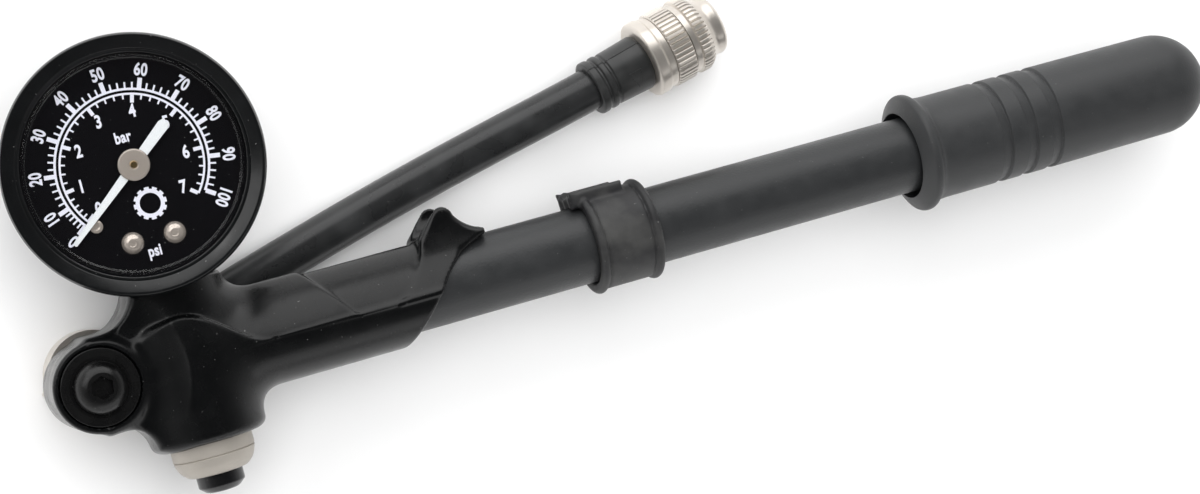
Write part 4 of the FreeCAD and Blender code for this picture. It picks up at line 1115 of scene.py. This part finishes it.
def lettering(text, place, turn, height, name):
    """Printed characters, narrow and bold, with their middle at a place on the dial."""
    curve = bpy.data.curves.new(name, "FONT")
    curve.body = text
    curve.size = height * EM_PER_HEIGHT
    curve.offset = BOLDNESS * height
    curve.space_character = LETTER_SPACE
    curve.align_x = "CENTER"
    curve.align_y = "CENTER"
    curve.resolution_u = 6
    holder = put(name, curve)
    bpy.context.view_layer.update()
    evaluated = holder.evaluated_get(bpy.context.evaluated_depsgraph_get())
    mesh = bpy.data.meshes.new_from_object(evaluated)
    bpy.data.objects.remove(holder)
    heights = [vertex.co.y for vertex in mesh.vertices]
    centred = Matrix.Translation((0, -(min(heights) + max(heights)) / 2, 0))
    narrow = Matrix.Diagonal(NARROWING)
    spot = Matrix.Translation((place[0], place[1], 0.0)) @ Matrix.Rotation(turn, 4, "Z")
    mesh.transform(PRINT @ spot @ narrow @ centred)
    add_piece(name, mesh, "ink_white", "head")


def make_numbers():
    """Numbers round both scales and their units."""
    radius, height = PSI_DIGITS
    for pressure in range(0, FULL_PRESSURE + 1, 10):
        turn = dial_turn(pressure)
        lettering(str(pressure), on_dial(turn, radius), turn - math.pi / 2, height, "psi_%d" % pressure)
    radius, height = BAR_DIGITS
    for bar in range(BAR_SCALE_END + 1):
        turn = dial_turn(bar * PSI_PER_BAR)
        lettering(str(bar), on_dial(turn, radius), 0.0, height, "bar_%d" % bar)
    lettering("bar", BAR_UNIT_AT, 0.0, UNIT_HEIGHT, "unit_bar")
    lettering("psi", PSI_UNIT_AT, 0.0, UNIT_HEIGHT, "unit_psi")


def make_tyre_sign():
    """Generic tyre pictogram under the hub."""
    patches = []
    for k in range(TYRE_BLOCKS):
        turn = 2 * math.pi * k / TYRE_BLOCKS
        for inner, outer, share in TYRE_RINGS:
            half = math.pi / TYRE_BLOCKS * share
            for piece in band(turn - half, turn + half, inner, outer, steps=4):
                patches.append([(x + TYRE_AT[0], y + TYRE_AT[1]) for x, y in piece])
    print_patches("tyre_sign", patches)


NEEDLE_LOW = 12.5
NEEDLE_HIGH = 12.85
RIVET_AT = (4.1, -14.4)
STOP_PIN_AT = (9.9, -9.6)


def make_needle():
    """Pointer with a long tapering tip and a broad blunt tail, its hub and the arbor's end."""
    side = [(19.0, 0.3), (18.8, 0.45), (3.0, 0.85), (-3.0, 0.95), (-9.4, 1.12), (-10.4, 0.7)]
    outline = side + [(x, -y) for x, y in reversed(side)]
    turned = DIAL @ Matrix.Rotation(math.radians(ZERO_TURN + NEEDLE_REST), 4, "Z")
    mesh = prism("pointer_skin", outline, NEEDLE_LOW, NEEDLE_HIGH, turned)
    add_piece("pointer_skin", mesh, "pointer_white", "needle", "pointer")
    corners = [
        (NEEDLE_HIGH, 0.0), (NEEDLE_HIGH, 3.0, 0.15), (13.25, 3.1, 0.1), (13.5, 2.85, 0.15),
        (13.5, 0.85, 0.15), (13.3, 0.62, 0.1), (13.3, 0.0),
    ]
    turned_piece("hub_skin", corners, GAUGE, "rivet_metal", "needle", "pointer_hub", closed=False)


def make_rivets():
    """Domed rivets with a flat struck crown, and the flat stop pin."""
    dome = [
        (0.0, 0.0), (0.0, 2.15), (0.45, 2.0, 0.2), (0.85, 1.65, 0.3), (1.15, 1.15, 0.3), (1.3, 0.75, 0.05),
        (1.22, 0.65, 0.05), (1.22, 0.0),
    ]
    for k, x in enumerate((-RIVET_AT[0], RIVET_AT[0])):
        place = GAUGE @ Matrix.Translation((DIAL_TOP, RIVET_AT[1], x))
        name = "rivet_%d" % (k + 1)
        nodes = ("dial_rivets",) if k == 0 else ()
        turned_piece(name, dome, place, "rivet_metal", "head", *nodes, closed=False)
    pin = [(0.0, 0.0), (0.0, 1.3, 0.1), (0.5, 1.3, 0.2), (0.7, 0.8, 0.1), (0.6, 0.5, 0.1), (0.6, 0.0)]
    place = GAUGE @ Matrix.Translation((DIAL_TOP, STOP_PIN_AT[1], STOP_PIN_AT[0]))
    turned_piece("stop_pin_skin", pin, place, "rivet_metal", "head", "stop_pin", closed=False)


make_case()
make_dial_face()
make_scales()
make_numbers()
make_tyre_sign()
make_needle()
make_rivets()


# CAD pieces that keep their shape

def finish_cad_nodes():
    """Gives each CAD node that still shows its slot's material."""
    for entry in frame["record"]["subparts"]:
        node = frame["nodes"][entry["node"]]
        if not node.hide_render:
            node.data.materials.clear()
            node.data.materials.append(MATERIALS[entry["material_slot"]])


finish_cad_nodes()


# Stage: table, light and camera

TABLE_REACH = 3.0  # metres from its middle to each side
TABLE_LIGHT = (0.90, 0.90, 0.90)
TABLE_SHADE = (0.86, 0.86, 0.86)

# Soft boxes: name, place, width and height in metres, power, and whether glossy surfaces show it
LIGHTS = (
    ("key", (-0.1, 0.1, 1.3), 1.4, 1.2, 19, False),
    ("top_box", (0.0, 0.84, 0.6), 1.6, 0.85, 7.5, True),
    ("low_box", (0.1, -0.9, 0.4), 1.2, 0.4, 1.1, True),
    ("left_box", (-0.85, 0.5, 0.75), 0.5, 0.6, 1.5, True),
)

# The tent's brightness by height
HORIZON = (0.08, (0.9, 0.9, 0.9, 1))
HALF_WAY = (0.5, (0.3, 0.3, 0.3, 1))
OVERHEAD = (0.9, (0.05, 0.05, 0.05, 1))

CAMERA_LENS = 79.5
CAMERA_AT = (-74.84, 28.86, 519.38)  # in the pump's frame
CAMERA_BACK = (-0.29788, 0.05533, 0.95300)
CAMERA_RIGHT = (0.919, -0.254, 0.302)


def make_table():
    """Pale seamless table."""
    mesh = bpy.data.meshes.new("table")
    low, high = -TABLE_REACH, TABLE_REACH
    corners = [(low, low, 0), (high, low, 0), (high, high, 0), (low, high, 0)]
    mesh.from_pydata(corners, [], [(0, 1, 2, 3)])
    shader = Shader("table_white")
    shader.set(Roughness=0.9)
    base = shader.mix(shader.noise(0.02, 3.0), TABLE_LIGHT, TABLE_SHADE)
    mesh.materials.append(shader.done(base))
    table = put("table", mesh)


def make_light(name, place, width, height, power, mirrored):
    """Soft box that faces the pump; one that isn't mirrored lights without showing in glossy surfaces."""
    light = bpy.data.lights.new(name, "AREA")
    light.shape = "RECTANGLE"
    light.size = width
    light.size_y = height
    light.energy = power
    lamp = put(name, light)
    lamp.location = place
    lamp.visible_glossy = mirrored
    lamp.rotation_euler = (-Vector(place)).to_track_quat("-Z", "Y").to_euler()


def make_surroundings():
    """Studio tent: bright round the horizon and dim overhead."""
    world = bpy.data.worlds.new("studio")
    world.use_nodes = True
    nodes, links = world.node_tree.nodes, world.node_tree.links
    background = nodes["Background"]
    place = nodes.new("ShaderNodeTexCoord")
    split = nodes.new("ShaderNodeSeparateXYZ")
    ramp = nodes.new("ShaderNodeValToRGB")
    links.new(place.outputs["Generated"], split.inputs["Vector"])
    links.new(split.outputs["Z"], ramp.inputs["Fac"])
    links.new(ramp.outputs["Color"], background.inputs["Color"])
    stops = ramp.color_ramp.elements
    stops[0].position, stops[0].color = HORIZON
    stops[1].position, stops[1].color = OVERHEAD
    stops.new(HALF_WAY[0]).color = HALF_WAY[1]
    background.inputs["Strength"].default_value = 1.0
    bpy.context.scene.world = world


def make_camera():
    """Camera high above the pump, a little to the head's side."""
    data = bpy.data.cameras.new("camera")
    data.lens = CAMERA_LENS
    data.sensor_width = 36.0
    data.clip_start = 0.01
    camera = put("camera", data)
    back = Vector(CAMERA_BACK).normalized()
    right = Vector(CAMERA_RIGHT)
    right = (right - back * right.dot(back)).normalized()
    up = back.cross(right)
    turn = Matrix((right, up, back)).transposed().to_4x4()
    place = PUMP @ Vector(CAMERA_AT)
    camera.matrix_world = Matrix.Translation(place) @ turn
    bpy.context.scene.camera = camera


make_table()
make_surroundings()
for light in LIGHTS:
    make_light(*light)
make_camera()
bpy.context.scene.view_settings.view_transform = "Standard"
